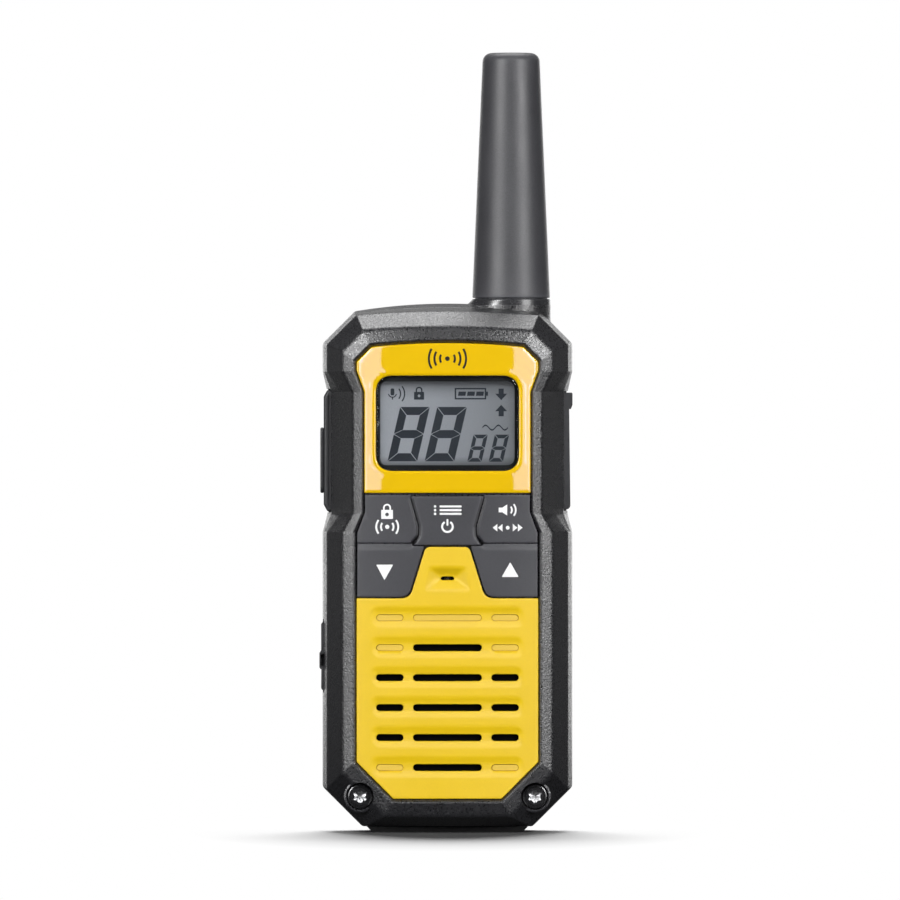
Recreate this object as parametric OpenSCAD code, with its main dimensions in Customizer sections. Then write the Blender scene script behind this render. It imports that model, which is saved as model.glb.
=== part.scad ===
// Handheld two way radio: a fixed antenna, five front keys, a push-to-talk bar,
// two hinged side covers, a battery door and a sprung belt clip.
//
// Frame: +X to the right as seen from the front, +Y to the back, +Z up.
// The origin is on the foot's resting face, under the middle of the radio, on the
// parting plane between the front and rear cases.

/* [Case] */
// Width over the widest part of the rear case
body_w = 58.8; // [58.7:0.1:59.1]
// Height from the foot to the crown of the top edge
body_h = 124.2; // [124.1:0.1:124.5]
// Depth from the parting plane to the crest of the front ridge
front_depth = 13; // [13:0.1:13.3]
// Depth from the parting plane to the back face
rear_depth = 19; // [19:0.1:19.3]
// Thickness of the rear case wall
wall = 1.8; // [1.7:0.1:1.9]
// Radius of the sideways crown of the front
crown_r = 110; // [109:1:113]

/* [Display] */
// Width of the window opening
window_w = 33.5; // [33.2:0.1:33.6]
// Height of the window opening
window_h = 22.3; // [22.1:0.1:22.4]
// Height of the window's centre
window_z = 95.95; // [95.85:0.05:96.05]

/* [Keypad] */
// Gap between a key and its neighbour
key_gap = 0.4; // [0.3:0.05:0.5]
// Radius of the post under each key
key_post_r = 2; // [1.8:0.1:2.1]

/* [Speaker] */
// Height of the speaker's centre
speaker_z = 29.3; // [29:0.1:29.6]
// Outside diameter of the speaker
speaker_d = 40; // [39.6:0.2:40]
// Distance between rows of grille slots
slot_pitch = 7.02; // [6.9:0.02:7.1]
// Height of one grille slot
slot_h = 1.6; // [1.4:0.1:1.8]

/* [Antenna] */
// Height of the antenna's tip
overall_h = 183.3; // [180:0.1:190]
// Radius at the foot of the antenna
antenna_base_r = 9.15; // [9:0.05:9.2]
// Radius near the tip of the antenna
antenna_tip_r = 6.75; // [6.6:0.05:7]
// Sideways place of the antenna's axis
antenna_x = 15; // [14.8:0.1:15.2]

/* [Battery] */
// Diameter of one cell
cell_d = 10.5; // [10.2:0.1:10.5]
// Length of one cell with its nub
cell_l = 44.5; // [44.3:0.1:44.5]
// Height of the seam above the battery door
door_top = 56.6; // [56.5:0.1:56.6]

/* [Belt clip] */
// Width of the belt clip's arm
clip_w = 18; // [17:0.5:19]
// Height of the clip's pivot
clip_pivot_z = 106; // [105.8:0.1:106.2]
// Radius of the clip's pivot pin
pin_r = 1; // [0.9:0.05:1]

/* [Fasteners] */
// Radius of a case screw's head
screw_head_r = 2.9; // [2.7:0.1:2.9]
// Radius of a case screw's shank
screw_r = 1.4; // [1.3:0.05:1.4]

/* [Hidden] */
$fn = 64;

charcoal = "#2b2c2f";
yellow = "#f3c318";
rubber_black = "#1d1d1f";
steel = "#8f9296";
brass = "#c0963c";
board_green = "#1f5a3a";
big = 200;

// ---- Outlines of the case, seen from the front ----
// An outline is [half width, waist half width, top, top rise, top corner, bottom, bottom corner].
// The waist is the narrow stretch beside the display.
waist_z = [71.3, 74.7, 103.3, 108.2];
top_steps = 6;
foot_steps = 4;

function outline_at(side, waist, drop, rise, top_corner, bottom, bottom_corner) =
    [body_w / 2 - side, body_w / 2 - waist, body_h - drop, rise, top_corner, bottom, bottom_corner];
function inset(o, d) =
    [o[0] - d, o[1] - d, o[2] - d, o[3], o[4] - d * corner_k, o[5] + d, o[6] - d * corner_k];
corner_k = 2 - sqrt(2);

rear_rim = outline_at(0, 1.1, 0, 1.8, 7.6, 1.2, 9.3);
rear_shoulder = outline_at(0.7, 1.7, 0.6, 1.8, 7.6, 1.6, 9.3);
rear_edge = outline_at(2.2, 3.0, 2.4, 1.8, 7.2, 3.2, 9.0);
rear_face = outline_at(4.5, 5.1, 4.8, 1.8, 6.6, 5.6, 8.6);
parting = outline_at(0.4, 2.2, 1.0, 1.4, 7.3, 1.3, 9.0);
front_edge = outline_at(1.05, 4.2, 1.9, 0.9, 7.0, 1.4, 8.7);
ridge_outer = outline_at(4.6, 7.1, 5.6, 0.8, 4.9, 3.8, 10.3);
ridge_crest = outline_at(7.35, 9.2, 8.7, 0.9, 3.9, 7.2, 9.0);
panel_opening = outline_at(7.95, 9.75, 9.3, 0.9, 3.6, 7.85, 8.7);
front_cavity = outline_at(5.8, 8.2, 8.0, 0.9, 4.5, 6.2, 10.5);
rim_cavity = outline_at(2.5, 6.1, 3.6, 0.9, 5.0, 3.2, 9.5);

// Right half of an outline, from the middle of the foot edge up to the middle of the top edge
function half_outline(o) = concat(
    [for (i = [0 : foot_steps]) [(o[0] - o[6]) * i / foot_steps, o[5]]],
    [[o[0], o[5] + o[6]], [o[0], waist_z[0]], [o[1], waist_z[1]],
     [o[1], waist_z[2]], [o[0], waist_z[3]], [o[0], o[2] - o[3] - o[4]]],
    [for (i = [top_steps : -1 : 0]) let (t = i / top_steps) [(o[0] - o[4]) * t, o[2] - o[3] * t * t]]);
function closed_outline(o) = let (half = half_outline(o), n = len(half))
    concat(half, [for (i = [n - 2 : -1 : 1]) [-half[i][0], half[i][1]]]);
module outline(o) polygon(closed_outline(o));

// ---- The sideways crown: surfaces of radius r about one upright axis behind the radio ----
panel_depth = front_depth - 0.6;
crown_axis_y = crown_r - panel_depth;
panel_back_r = crown_r - 1.8;
floor_front_r = crown_r - 1.85;
floor_mid_r = crown_r - 2.5;
floor_back_r = crown_r - 3.1;
mat_front_r = crown_r - 3.15;
function crown_y(x) = crown_r - sqrt(crown_r * crown_r - x * x);
function shell_y(r, x) = crown_axis_y - sqrt(r * r - x * x);

module crown(r) translate([0, crown_axis_y, -5]) cylinder(r = r, h = big, $fn = 256);
module crown_shell(r_out, r_in) difference() {
    crown(r_out);
    translate([0, 0, -1]) crown(r_in);
    translate([-big, crown_axis_y - r_in + 8, -big]) cube([2 * big, 2 * big, 3 * big]);
}
// Sheet that follows the crown between two radii, with the 2D child as its outline
module crowned_sheet(r_out, r_in) intersection() {
    crown_shell(r_out, r_in);
    along_y(-front_depth - 1, -2) children();
}

// ---- Helpers ----
// Extrude a 2D (x, z) shape from y0 to y1
module along_y(y0, y1) translate([0, y1, 0]) rotate([90, 0, 0]) linear_extrude(y1 - y0) children();
// Extrude a 2D (y, z) shape from x0 to x1
module along_x(x0, x1) translate([x0, 0, 0]) rotate([90, 0, 90]) linear_extrude(x1 - x0) children();
module box(x0, x1, y0, y1, z0, z1) translate([x0, y0, z0]) cube([x1 - x0, y1 - y0, z1 - z0]);
module rod_y(x, z, r, y0, y1) translate([x, y0, z]) rotate([-90, 0, 0]) cylinder(r = r, h = y1 - y0);
module rod_x(y, z, r, x0, x1) translate([x0, y, z]) rotate([0, 90, 0]) cylinder(r = r, h = x1 - x0);
module both_sides() {
    children();
    mirror([1, 0, 0]) children();
}
module round_rect(w, h, r) {
    square([w - 2 * r, h], center = true);
    square([w, h - 2 * r], center = true);
    for (x = [-1, 1], z = [-1, 1]) translate([x * (w / 2 - r), z * (h / 2 - r)]) circle(r);
}
module slot(w, h) {
    square([w - h, h], center = true);
    for (x = [-1, 1]) translate([x * (w - h) / 2, 0]) circle(h / 2);
}

// Solid through a list of sections [y, crowned, outline], from the back to the front.
// A crowned section bends back towards its sides with the front's crown.
module loft(sections) {
    n = len(closed_outline(sections[0][2]));
    last = len(sections) - 1;
    half = n / 2;
    points = [for (s = sections) for (p = closed_outline(s[2])) [p[0], s[0] + (s[1] ? crown_y(p[0]) : 0), p[1]]];
    sides = [for (k = [0 : last - 1]) for (i = [0 : n - 1])
        let (a = k * n + i, b = k * n + (i + 1) % n, c = b + n, d = a + n) each [[a, d, c], [a, c, b]]];
    first = foot_steps + 1;
    foot = [for (i = [-first + 1 : first - 1]) [n - first, (i + n) % n, (i + 1 + n) % n]];
    rows = [for (j = [first : half - 2]) [n - j, j, j + 1, n - j - 1]];
    cap = concat(foot, rows, [[half + 1, half - 1, half]]);
    front = [for (f = cap) [for (i = [len(f) - 1 : -1 : 0]) f[i] + last * n]];
    polyhedron(points, concat(sides, cap, front));
}

// ---- Places shared by several pieces ----
key_post_x = 14.2;
upper_key_z = 73.5;
lower_key_z = 61.2;
key_posts = [[-key_post_x, upper_key_z], [0, upper_key_z], [key_post_x, upper_key_z],
    [-key_post_x, lower_key_z], [key_post_x, lower_key_z]];
front_screw = [20.5, 8.5];
rear_screw = [21, 64];
board_screw = [[15.5, 113], [20.8, 53.2]];
clip_screw_z = 101.5;
mic_z = 59.5;
board_front = -1.6;
antenna_y = 9.6;
collar_r = 9.3;
collar_bottom = 117;
collar_top = 125.3;
antenna_bore_r = 3.6;
jack_y = 4.9;
jack_big_z = 93.5;
jack_small_z = 82.1;
jack_face_x = 25.3;
jack_hole_r = 3.2;
jack_collar_r = 3;
usb_y = 3;
usb_z = 41.3;
door_front = 6.5;
seam = 0.1;

// ---- Case ----
foot_w = 37.8;
foot_front = -5.6;
foot_back = 15.5;
module foot(y0, y1) along_y(y0, y1)
    polygon([[-foot_w / 2, 2.4], [-foot_w / 2, 1.4], [1.3 - foot_w / 2, 0],
        [foot_w / 2 - 1.3, 0], [foot_w / 2, 1.4], [foot_w / 2, 2.4]]);

front_sections = [[0, false, parting], [-7, true, front_edge], [0.8 - front_depth, true, ridge_outer],
    [-front_depth, true, ridge_crest], [0.7 - front_depth, true, panel_opening]];
rear_sections = [[rear_depth, false, rear_face], [rear_depth - 1.2, false, rear_edge],
    [rear_depth - 4.5, false, rear_shoulder], [5, false, rear_rim], [0, false, parting]];
function hollow(d) = [[rear_depth - 1.7, false, inset(rear_face, d)], [rear_depth - 2.7, false, inset(rear_edge, d)],
    [rear_depth - 5.8, false, inset(rear_shoulder, d)], [5, false, inset(rear_rim, d)], [-1, false, inset(parting, d)]];

front_boss_r = 3.9;
front_boss_y = -9.2;
screw_seat_y = -6.9;
screw_play = 0.05;
head_play = 0.25;
standoff_r = 2.1;
standoff_hole_r = 0.75;
board_hole_r = 0.85;
rear_boss_r = 3.3;
speaker_open_r = 18.6;

module front_case() color(charcoal) difference() {
    union() {
        difference() {
            loft(front_sections);
            along_y(-front_depth - 2, -6) outline(inset(panel_opening, 0.1));
            along_y(-3.2, 1) outline(rim_cavity);
            intersection() {
                crown(floor_back_r);
                along_y(-front_depth, -3.1) outline(front_cavity);
            }
        }
        crowned_sheet(floor_front_r, floor_back_r) outline(inset(panel_opening, -0.3));
        both_sides() {
            rod_y(front_screw[0], front_screw[1], front_boss_r, front_boss_y, 0);
            rod_y(rear_screw[0], rear_screw[1], rear_boss_r, shell_y(floor_mid_r, rear_screw[0]), 0);
            for (p = board_screw) rod_y(p[0], p[1], standoff_r, shell_y(floor_mid_r, p[0]), board_front);
        }
        intersection() {
            crown(floor_mid_r);
            along_y(-front_depth, -5) translate([0, speaker_z]) difference() {
                circle(speaker_d / 2 + 1.2);
                circle(speaker_d / 2 + 0.1);
            }
        }
        foot(foot_front, 0);
    }
    both_sides() {
        rod_y(front_screw[0], front_screw[1], screw_head_r + head_play, -front_depth - 1, screw_seat_y);
        rod_y(front_screw[0], front_screw[1], screw_r + screw_play, screw_seat_y - 1, 1);
        rod_y(rear_screw[0], rear_screw[1], screw_r + screw_play, -4, 1);
        for (p = board_screw) rod_y(p[0], p[1], standoff_hole_r, -5.2, 0);
    }
    along_y(-front_depth, -5) {
        translate([0, window_z]) round_rect(window_w - 2, window_h - 2.4, 2);
        for (p = key_posts) translate(p) circle(key_post_r + 0.3);
        translate([0, speaker_z]) circle(speaker_open_r);
        translate([0, mic_z]) circle(1);
    }
    along_y(-0.6, 1) seal_ring();
}

module seal_ring() difference() {
    outline(inset(parting, 0.6));
    outline(inset(parting, 1.4));
}
module case_seal() color(rubber_black) along_y(-0.6, 0) seal_ring();

// Battery compartment: a tray in the rear case, open to the back
tray_bottom = 3.7;
tray_half = 23.6;
tray_top = door_top - 0.3;
tray_wall = 1.4;
tray_back = 13.2;
cell_y = 11.45;
bay_bottom = tray_bottom + tray_wall;
bay_top = door_top - 2.05;
module tray_outline(half, bottom, corner, top) polygon([[-half, top], [-half, bottom + corner],
    [-half + corner, bottom], [half - corner, bottom], [half, bottom + corner], [half, top]]);

ptt_z = [75.2, 103.9];
ptt_y = [1.0, 9.4];
flap_z = [75.7, 103.2];
flap_y = [1.0, 9.2];
flap_x = [26.8, 28.9];
usb_flap_z = [33.1, 49.6];
usb_flap_y = [0.9, 5.6];
usb_flap_x = [28.0, 29.7];
flap_gap = 0.2;

module rear_case() color(charcoal) difference() {
    union() {
        difference() {
            loft(rear_sections);
            intersection() {
                loft(hollow(wall));
                box(-big, big, -big, big, door_top + 1.9, big);
            }
            intersection() {
                loft(hollow(wall));
                box(-big, big, -big, 4.9, -1, door_top + 2);
            }
            box(-big, big, door_front, big, -1, door_top + seam);
        }
        along_y(door_front - seam, tray_back) tray_outline(tray_half, tray_bottom, 5, tray_top);
        translate([antenna_x, antenna_y, collar_bottom]) cylinder(r = collar_r, h = collar_top - collar_bottom);
        both_sides() {
            rod_y(front_screw[0], front_screw[1], 3, 0, 5);
            rod_y(rear_screw[0], rear_screw[1], 4, 0, rear_depth - 1.2);
        }
        rod_y(0, clip_screw_z, 3.2, 12, rear_depth - 1.5);
        box(24.9, flap_x[0] - 0.05, 0.3, flap_y[1] + 0.8, flap_z[0] - 1.2, flap_z[1] + 1.2);
        box(-usb_flap_x[0] + 0.05, -26.2, 0.3, 5, usb_flap_z[0] - 1.2, usb_flap_z[1] + 1.2);
        foot(0, door_front - seam);
    }
    // battery compartment
    along_y(door_front - 0.4, tray_back + 1) tray_outline(tray_half - tray_wall, bay_bottom, 3.2, bay_top);
    // antenna bore
    translate([antenna_x, antenna_y, 110]) cylinder(r = antenna_bore_r, h = 20);
    // screw holes and the rear screws' recesses
    both_sides() {
        rod_y(front_screw[0], front_screw[1], screw_r + screw_play, -1, 4.2);
        rod_y(rear_screw[0], rear_screw[1], screw_r + screw_play, -1, rear_depth - 3);
        rod_y(rear_screw[0], rear_screw[1], screw_head_r + head_play, rear_depth - 4, big);
    }
    rod_y(0, clip_screw_z, 1.35, 12.5, big);
    // push-to-talk opening, left
    box(-big, -20, ptt_y[0] - flap_gap, ptt_y[1] + flap_gap, ptt_z[0] - flap_gap, ptt_z[1] + flap_gap);
    // jack cover pocket and its two jack holes, right
    box(flap_x[0] - 0.05, big, flap_y[0] - flap_gap, flap_y[1] + flap_gap, flap_z[0] - 0.3, flap_z[1] + 0.4);
    rod_x(jack_y, jack_big_z, jack_hole_r, 24, 28);
    rod_x(jack_y, jack_small_z, jack_hole_r, 24, 28);
    // charging socket cover pocket and its slot, left
    box(-big, -usb_flap_x[0] + 0.05, usb_flap_y[0] - flap_gap, usb_flap_y[1] + flap_gap,
        usb_flap_z[0] - 0.4, usb_flap_z[1] + 0.4);
    box(-29, -25, usb_y - 1.5, usb_y + 1.5, usb_z - 4, usb_z + 4);
}

grip_ribs = 5;
module battery_door() color(charcoal) {
    difference() {
        intersection() {
            loft(rear_sections);
            box(-big, big, door_front, big, -1, door_top);
        }
        loft(hollow(wall - 0.1));
    }
    foot(door_front, foot_back);
    for (i = [0 : grip_ribs - 1])
        box(-9, 9, rear_depth - 0.5, rear_depth + 0.4, door_top - 5.6 - 2.2 * i, door_top - 4.7 - 2.2 * i);
}

// ---- Front panels ----
surround_bottom = 79.55;
lip_w = 0.9;
module display_surround() color(yellow) difference() {
    union() {
        crowned_sheet(crown_r, panel_back_r) intersection() {
            outline(inset(panel_opening, 0.12));
            translate([-big, surround_bottom]) square([2 * big, big]);
        }
        crowned_sheet(crown_r + 0.4, panel_back_r)
            translate([0, window_z]) round_rect(window_w + 2 * lip_w, window_h + 2 * lip_w, 4.9);
    }
    along_y(-front_depth - 2, -2) translate([0, window_z]) round_rect(window_w, window_h, 4);
}

slot_rows = 6;
lowest_row = 15.3;
centre_slot_w = 16.1;
side_slot_w = 6.4;
side_slot_x = 13.5;
trough_half = 17.7;
// Rows from the bottom whose centre slot and whose side slots go right through
open_centre = [true, true, true, true, true, false];
open_side = [false, true, true, true, false, false];

grille_top = 54.95;
tab_right = [[9.9, grille_top], [8.6, 55.8], [7.9, 57.3], [5.65, 66.2], [5.0, 67.0]];
module grille_outline() {
    intersection() {
        outline(inset(panel_opening, 0.12));
        translate([-big, 0]) square([2 * big, grille_top]);
    }
    tab_left = [for (i = [len(tab_right) - 1 : -1 : 0]) [-tab_right[i][0], tab_right[i][1]]];
    polygon(concat([[-9.9, grille_top - 1], [9.9, grille_top - 1]], tab_right, tab_left));
}
module side_slots() for (x = [-side_slot_x, side_slot_x]) translate([x, 0]) slot(side_slot_w, slot_h);
module grille_panel() color(yellow) difference() {
    crowned_sheet(crown_r, panel_back_r) grille_outline();
    for (row = [0 : slot_rows - 1]) {
        z = lowest_row + row * slot_pitch;
        crowned_sheet(crown_r + 1, crown_r - 0.5)
            translate([0, z + 0.5]) round_rect(2 * trough_half, 3.4, 1.2);
        crowned_sheet(crown_r + 1, open_centre[row] ? panel_back_r - 1 : crown_r - 0.9)
            translate([0, z]) slot(centre_slot_w, slot_h);
        crowned_sheet(crown_r + 1, open_side[row] ? panel_back_r - 1 : crown_r - 0.9)
            translate([0, z]) side_slots();
    }
    crowned_sheet(crown_r + 1, crown_r - 0.8)
        polygon([[-5.4, 56.9], [5.4, 56.9], [4.3, 62.2], [-4.3, 62.2]]);
    along_y(-front_depth - 2, -2) translate([0, mic_z]) slot(2.9, 1);
}

module display_lens() color("#9aa0a8", 0.6) crowned_sheet(crown_r - 0.4, floor_front_r + 0.05)
    translate([0, window_z]) round_rect(window_w - 0.2, window_h - 0.2, 3.9);

// ---- Screws ----
// Pan head screw: head top at the origin, pointing up, with a six-sided socket
module screw(head_r, head_h, shank_r, shank_l, socket_r) difference() {
    rotate_extrude() polygon([[0, 0], [head_r - 0.5, 0], [head_r, 0.5], [head_r, head_h],
        [shank_r, head_h], [shank_r, head_h + shank_l], [0, head_h + shank_l]]);
    translate([0, 0, -1]) cylinder(r = socket_r, h = 1 + head_h * 0.6, $fn = 6);
}
module front_screws() color(steel) both_sides()
    translate([front_screw[0], screw_seat_y - 2, front_screw[1]]) rotate([-90, 0, 0])
        screw(screw_head_r, 2, screw_r, 10, 1.4);
module rear_screws() color(steel) both_sides()
    translate([rear_screw[0], rear_depth - 2, rear_screw[1]]) rotate([90, 0, 0])
        screw(screw_head_r, 2, screw_r, 18, 1.4);
module board_screws() color(steel) both_sides() for (p = board_screw)
    translate([p[0], 1, p[1]]) rotate([90, 0, 0]) screw(1.6, 1, 0.7, 5, 0.7);
module clip_screw() color(steel) translate([0, rear_depth + 3.2, clip_screw_z]) rotate([90, 0, 0])
    screw(2.4, 1.2, 1.3, 8, 1.1);

// ---- Keys ----
key_top = 79.1;
key_split = 67.55;
key_bottom = 55.3;
key_half = panel_opening[0] - 0.35;
key_waist_half = panel_opening[1] - 0.3;
key_foot_y = -3.95;
collar_back_r = mat_front_r - 0.8;

module key(post) {
    color(charcoal) crowned_sheet(crown_r, crown_r - 1) children();
    color(charcoal) rod_y(post[0], post[1], key_post_r, shell_y(crown_r - 0.5, post[0]), key_foot_y);
    color(charcoal) crowned_sheet(mat_front_r, collar_back_r) translate(post) circle(key_post_r + 1);
}
module upper_side_cap() polygon([[8.35 + key_gap, key_top], [key_waist_half, key_top],
    [key_waist_half, waist_z[1] + 0.4], [key_half, waist_z[0] - 0.1], [key_half, key_split + key_gap],
    [7.9 + key_gap, key_split + key_gap], [6.5 + key_gap, 69.6], [6.35 + key_gap, 71.8]]);
module menu_cap() polygon([[-8.35, key_top], [-6.35, 71.9], [-6.5, 69.5], [-7.6, 67.4],
    [7.6, 67.4], [6.5, 69.5], [6.35, 71.9], [8.35, key_top]]);
module lower_side_cap() polygon([[5.7 + key_gap, key_split - key_gap], [key_half, key_split - key_gap],
    [key_half, key_bottom], [10.2, key_bottom], [9.0, 56.0], [8.4, 57.6]]);
module call_key() key(key_posts[0]) mirror([1, 0]) upper_side_cap();
module menu_key() key(key_posts[1]) menu_cap();
module scan_key() key(key_posts[2]) upper_side_cap();
module down_key() key(key_posts[3]) mirror([1, 0]) lower_side_cap();
module up_key() key(key_posts[4]) lower_side_cap();

module keypad_mat() color(rubber_black) crowned_sheet(mat_front_r, collar_back_r) difference() {
    translate([-20.5, 56.2]) square([41, 22.8]);
    for (p = key_posts) translate(p) circle(key_post_r + 1.4);
    translate([0, mic_z]) circle(4);
    for (x = [-1, 1]) translate([x * rear_screw[0], rear_screw[1]]) circle(rear_boss_r + 0.4);
}
module key_switches() color(steel) for (p = key_posts) {
    box(p[0] - 2.5, p[0] + 2.5, -2.8, board_front, p[1] - 2.5, p[1] + 2.5);
    rod_y(p[0], p[1], 1.3, -3.1, -2.8);
}

// ---- Side controls ----
ptt_face = 29.1;
module ptt_button() color(rubber_black) {
    along_y(ptt_y[0], ptt_y[1]) polygon([[-ptt_face, ptt_z[0] + 1.7], [-ptt_face + 0.9, ptt_z[0]], [-25.2, ptt_z[0]],
        [-25.2, ptt_z[1]], [-ptt_face + 0.9, ptt_z[1]], [-ptt_face, ptt_z[1] - 1.6]]);
    box(-25.2, -24.4, ptt_y[0] - 0.4, ptt_y[1] + 0.4, ptt_z[0] - 0.8, ptt_z[1] + 0.8);
}
module ptt_pad() color(rubber_black) along_y(2.2, 8.2)
    polygon([[-ptt_face, 79.6], [-ptt_face, 95.0], [-29.9, 94.2], [-29.9, 80.4]]);
module ptt_switch() color(steel) {
    box(-22.9, -19.5, 0, 3.6, 86.5, 92.5);
    rod_x(2, 89.5, 1, -23.3, -22.9);
}

// Hinged cover on the right side: a bar with a round lower end on the hinge axis.
// Its two round plugs close the jack holes.
flap_r = (flap_x[1] - flap_x[0]) / 2;
module jack_cover() color(rubber_black) {
    axis_x = flap_x[0] + flap_r;
    axis_z = flap_z[0] + flap_r;
    along_y(flap_y[0], flap_y[1]) {
        translate([axis_x, axis_z]) circle(flap_r);
        polygon([[flap_x[0], axis_z], [flap_x[1], axis_z], [flap_x[1], 99], [29.4, 100.3],
            [29.4, flap_z[1]], [flap_x[0], flap_z[1]]]);
    }
    rod_x(jack_y, jack_big_z, 2.6, flap_x[0] - 1.1, flap_x[0] + 0.5);
    rod_x(jack_y, jack_small_z, 2.2, flap_x[0] - 1.1, flap_x[0] + 0.5);
}
module jack(z, bore_r) difference() {
    union() {
        box(12.5, 24.6, 0, 8, z - 3.4, z + 3.4);
        rod_x(jack_y, z, jack_collar_r, 24.5, jack_face_x);
    }
    rod_x(jack_y, z, bore_r, 14, 26);
}
module speaker_jack() color(rubber_black) jack(jack_big_z, 1.8);
module mic_jack() color(rubber_black) jack(jack_small_z, 1.3);

usb_flap_r = (usb_flap_x[1] - usb_flap_x[0]) / 2;
module usb_cover() color(rubber_black) {
    axis_x = -usb_flap_x[0] - usb_flap_r;
    axis_z = usb_flap_z[0] + usb_flap_r;
    along_y(usb_flap_y[0], usb_flap_y[1]) {
        translate([axis_x, axis_z]) circle(usb_flap_r);
        polygon([[-usb_flap_x[0], axis_z], [-usb_flap_x[1], axis_z], [-usb_flap_x[1], 38.0], [-30.1, 38.6],
            [-30.1, 42.0], [-usb_flap_x[1], 42.6], [-usb_flap_x[1], usb_flap_z[1] - 0.8],
            [-usb_flap_x[1] + 0.6, usb_flap_z[1]], [-usb_flap_x[0], usb_flap_z[1]]]);
    }
    box(-usb_flap_x[0] - 0.3, -27, usb_y - 1, usb_y + 1, usb_z - 3.4, usb_z + 3.4);
}
module usb_socket() color(steel) {
    difference() {
        box(-26.6, -21.6, usb_y - 1.3, usb_y + 1.3, usb_z - 3.7, usb_z + 3.7);
        box(-27, -22.6, usb_y - 0.9, usb_y + 0.9, usb_z - 3.3, usb_z + 3.3);
    }
    box(-25, -22.6, usb_y - 0.35, usb_y + 0.35, usb_z - 2.5, usb_z + 2.5);
    box(-22.7, -22.2, usb_y - 0.35, usb_y + 0.35, usb_z - 2.5, usb_z + 2.5);
    for (z = [-2.6, 2.6]) box(-24.6, -23.6, 0, usb_y - 1.3, usb_z + z - 0.5, usb_z + z + 0.5);
}

// ---- Antenna ----
sleeve_bottom = collar_top + 0.25;
tip_r = 2.2;
sleeve_bore_r = 5;
module on_antenna() translate([antenna_x, antenna_y, 0]) children();
module antenna_sleeve() color(charcoal) on_antenna() rotate_extrude($fn = 96) polygon(concat(
    [[sleeve_bore_r, sleeve_bottom], [antenna_base_r, sleeve_bottom], [antenna_tip_r, overall_h - tip_r]],
    [for (a = [15 : 15 : 90]) [antenna_tip_r - tip_r * (1 - cos(a)), overall_h - tip_r * (1 - sin(a))]],
    [[0, overall_h], [0, overall_h - 5], [sleeve_bore_r, overall_h - 5]]));

coil_r = 3.6;
coil_wire_r = 0.45;
coil_pitch = 3;
coil_rings = 14;
coil_bottom = 133;
module antenna_coil() color(brass) on_antenna() {
    for (i = [0 : coil_rings - 1]) translate([0, 0, coil_bottom + i * coil_pitch])
        rotate_extrude() translate([coil_r, 0]) circle(coil_wire_r, $fn = 24);
    translate([coil_r, 0, 130]) cylinder(r = coil_wire_r, h = coil_bottom - 130 + (coil_rings - 1) * coil_pitch);
}
module antenna_core() color("#e8e6df") on_antenna() translate([0, 0, 130]) cylinder(r = 2.9, h = 46);
module antenna_base() color(brass) on_antenna() {
    translate([0, 0, 113.5]) cylinder(r = 3.4, h = 12.3);
    translate([0, 0, sleeve_bottom + 0.1]) cylinder(r = 4.9, h = 130 - sleeve_bottom - 0.1);
}
module antenna_nut() color(brass) on_antenna() translate([0, 0, 114.4]) difference() {
    cylinder(r = 5.5, h = 2.6, $fn = 6);
    translate([0, 0, -1]) cylinder(r = 3.45, h = 5);
}

// ---- Display stack ----
lcd_front = -7.8;
lcd_w = 34.8;
lcd_h = 23.9;
lcd_z = 96.05;
module lcd_glass() color("#9fb0a0") along_y(lcd_front, -5.8) translate([0, lcd_z])
    square([lcd_w, lcd_h], center = true);
module lcd_backlight() color("white") box(-16.9, 16.9, -5.75, board_front, 87.2, lcd_z + lcd_h / 2 - 0.5);
module lcd_frame() color("silver") along_y(-7.2, board_front) translate([0, lcd_z]) difference() {
    square([lcd_w + 2.4, lcd_h + 2.4], center = true);
    square([lcd_w + 0.2, lcd_h + 0.2], center = true);
}
module lcd_connector() color("#d8c8d0") box(-16, 16, -5.75, board_front, 84.6, 86.8);

// ---- Electronics ----
board_thick = 1.6;
module main_board() color(board_green) along_y(board_front, board_front + board_thick) difference() {
    polygon([[-22.6, 118.5], [-22.6, 74], [-25.8, 70.5], [-25.8, 68.2], [-17, 68.2], [-17, 59.8], [-25.8, 59.8],
        [-25.8, 34], [-20.8, 34], [-20.8, 50.5], [25.8, 50.5], [25.8, 59.8], [17, 59.8], [17, 68.2],
        [25.8, 68.2], [25.8, 70.5], [22.6, 74], [22.6, 112.5], [17, 118.5]]);
    for (x = [-1, 1], p = board_screw) translate([x * p[0], p[1]]) circle(board_hole_r);
}
module board_components() color("#17181a") {
    box(-9, 0, 0, 1.2, 63, 72);
    box(4, 9, 0, 1.4, 64, 69);
    box(-4, 4, 0, 2.4, 53, 57);
    box(-20, -15, 0, 1.1, 72, 78);
    box(1, 6, 0, 1.6, 74, 77.5);
    box(-10, -4, 0, 1.8, 76, 79);
    rod_y(10, 56, 2, 0, 4.5);
    rod_y(-12, 56, 2, 0, 4.5);
    for (i = [0 : 4]) box(-11 + 3 * i, -9.4 + 3 * i, 0, 0.8, 112.5, 113.3);
    for (i = [0 : 4]) box(9 + 1.4 * i, 9.8 + 1.4 * i, 0, 0.8, 72, 73.6);
}
module rf_shield() color("silver") difference() {
    box(-14, 11, 0, 3, 87, 110);
    box(-13.7, 10.7, -1, 2.7, 87.3, 109.7);
}
module microphone() color(steel) rod_y(0, mic_z, 3, -5.8, -3.4);
module mic_boot() color(rubber_black) difference() {
    intersection() {
        crown(mat_front_r);
        rod_y(0, mic_z, 3.8, -10, -2.4);
    }
    rod_y(0, mic_z, 3, -5.8, -1);
    rod_y(0, mic_z, 0.8, -11, -5);
}

// ---- Loudspeaker ----
ring_front = -7.1;
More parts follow.
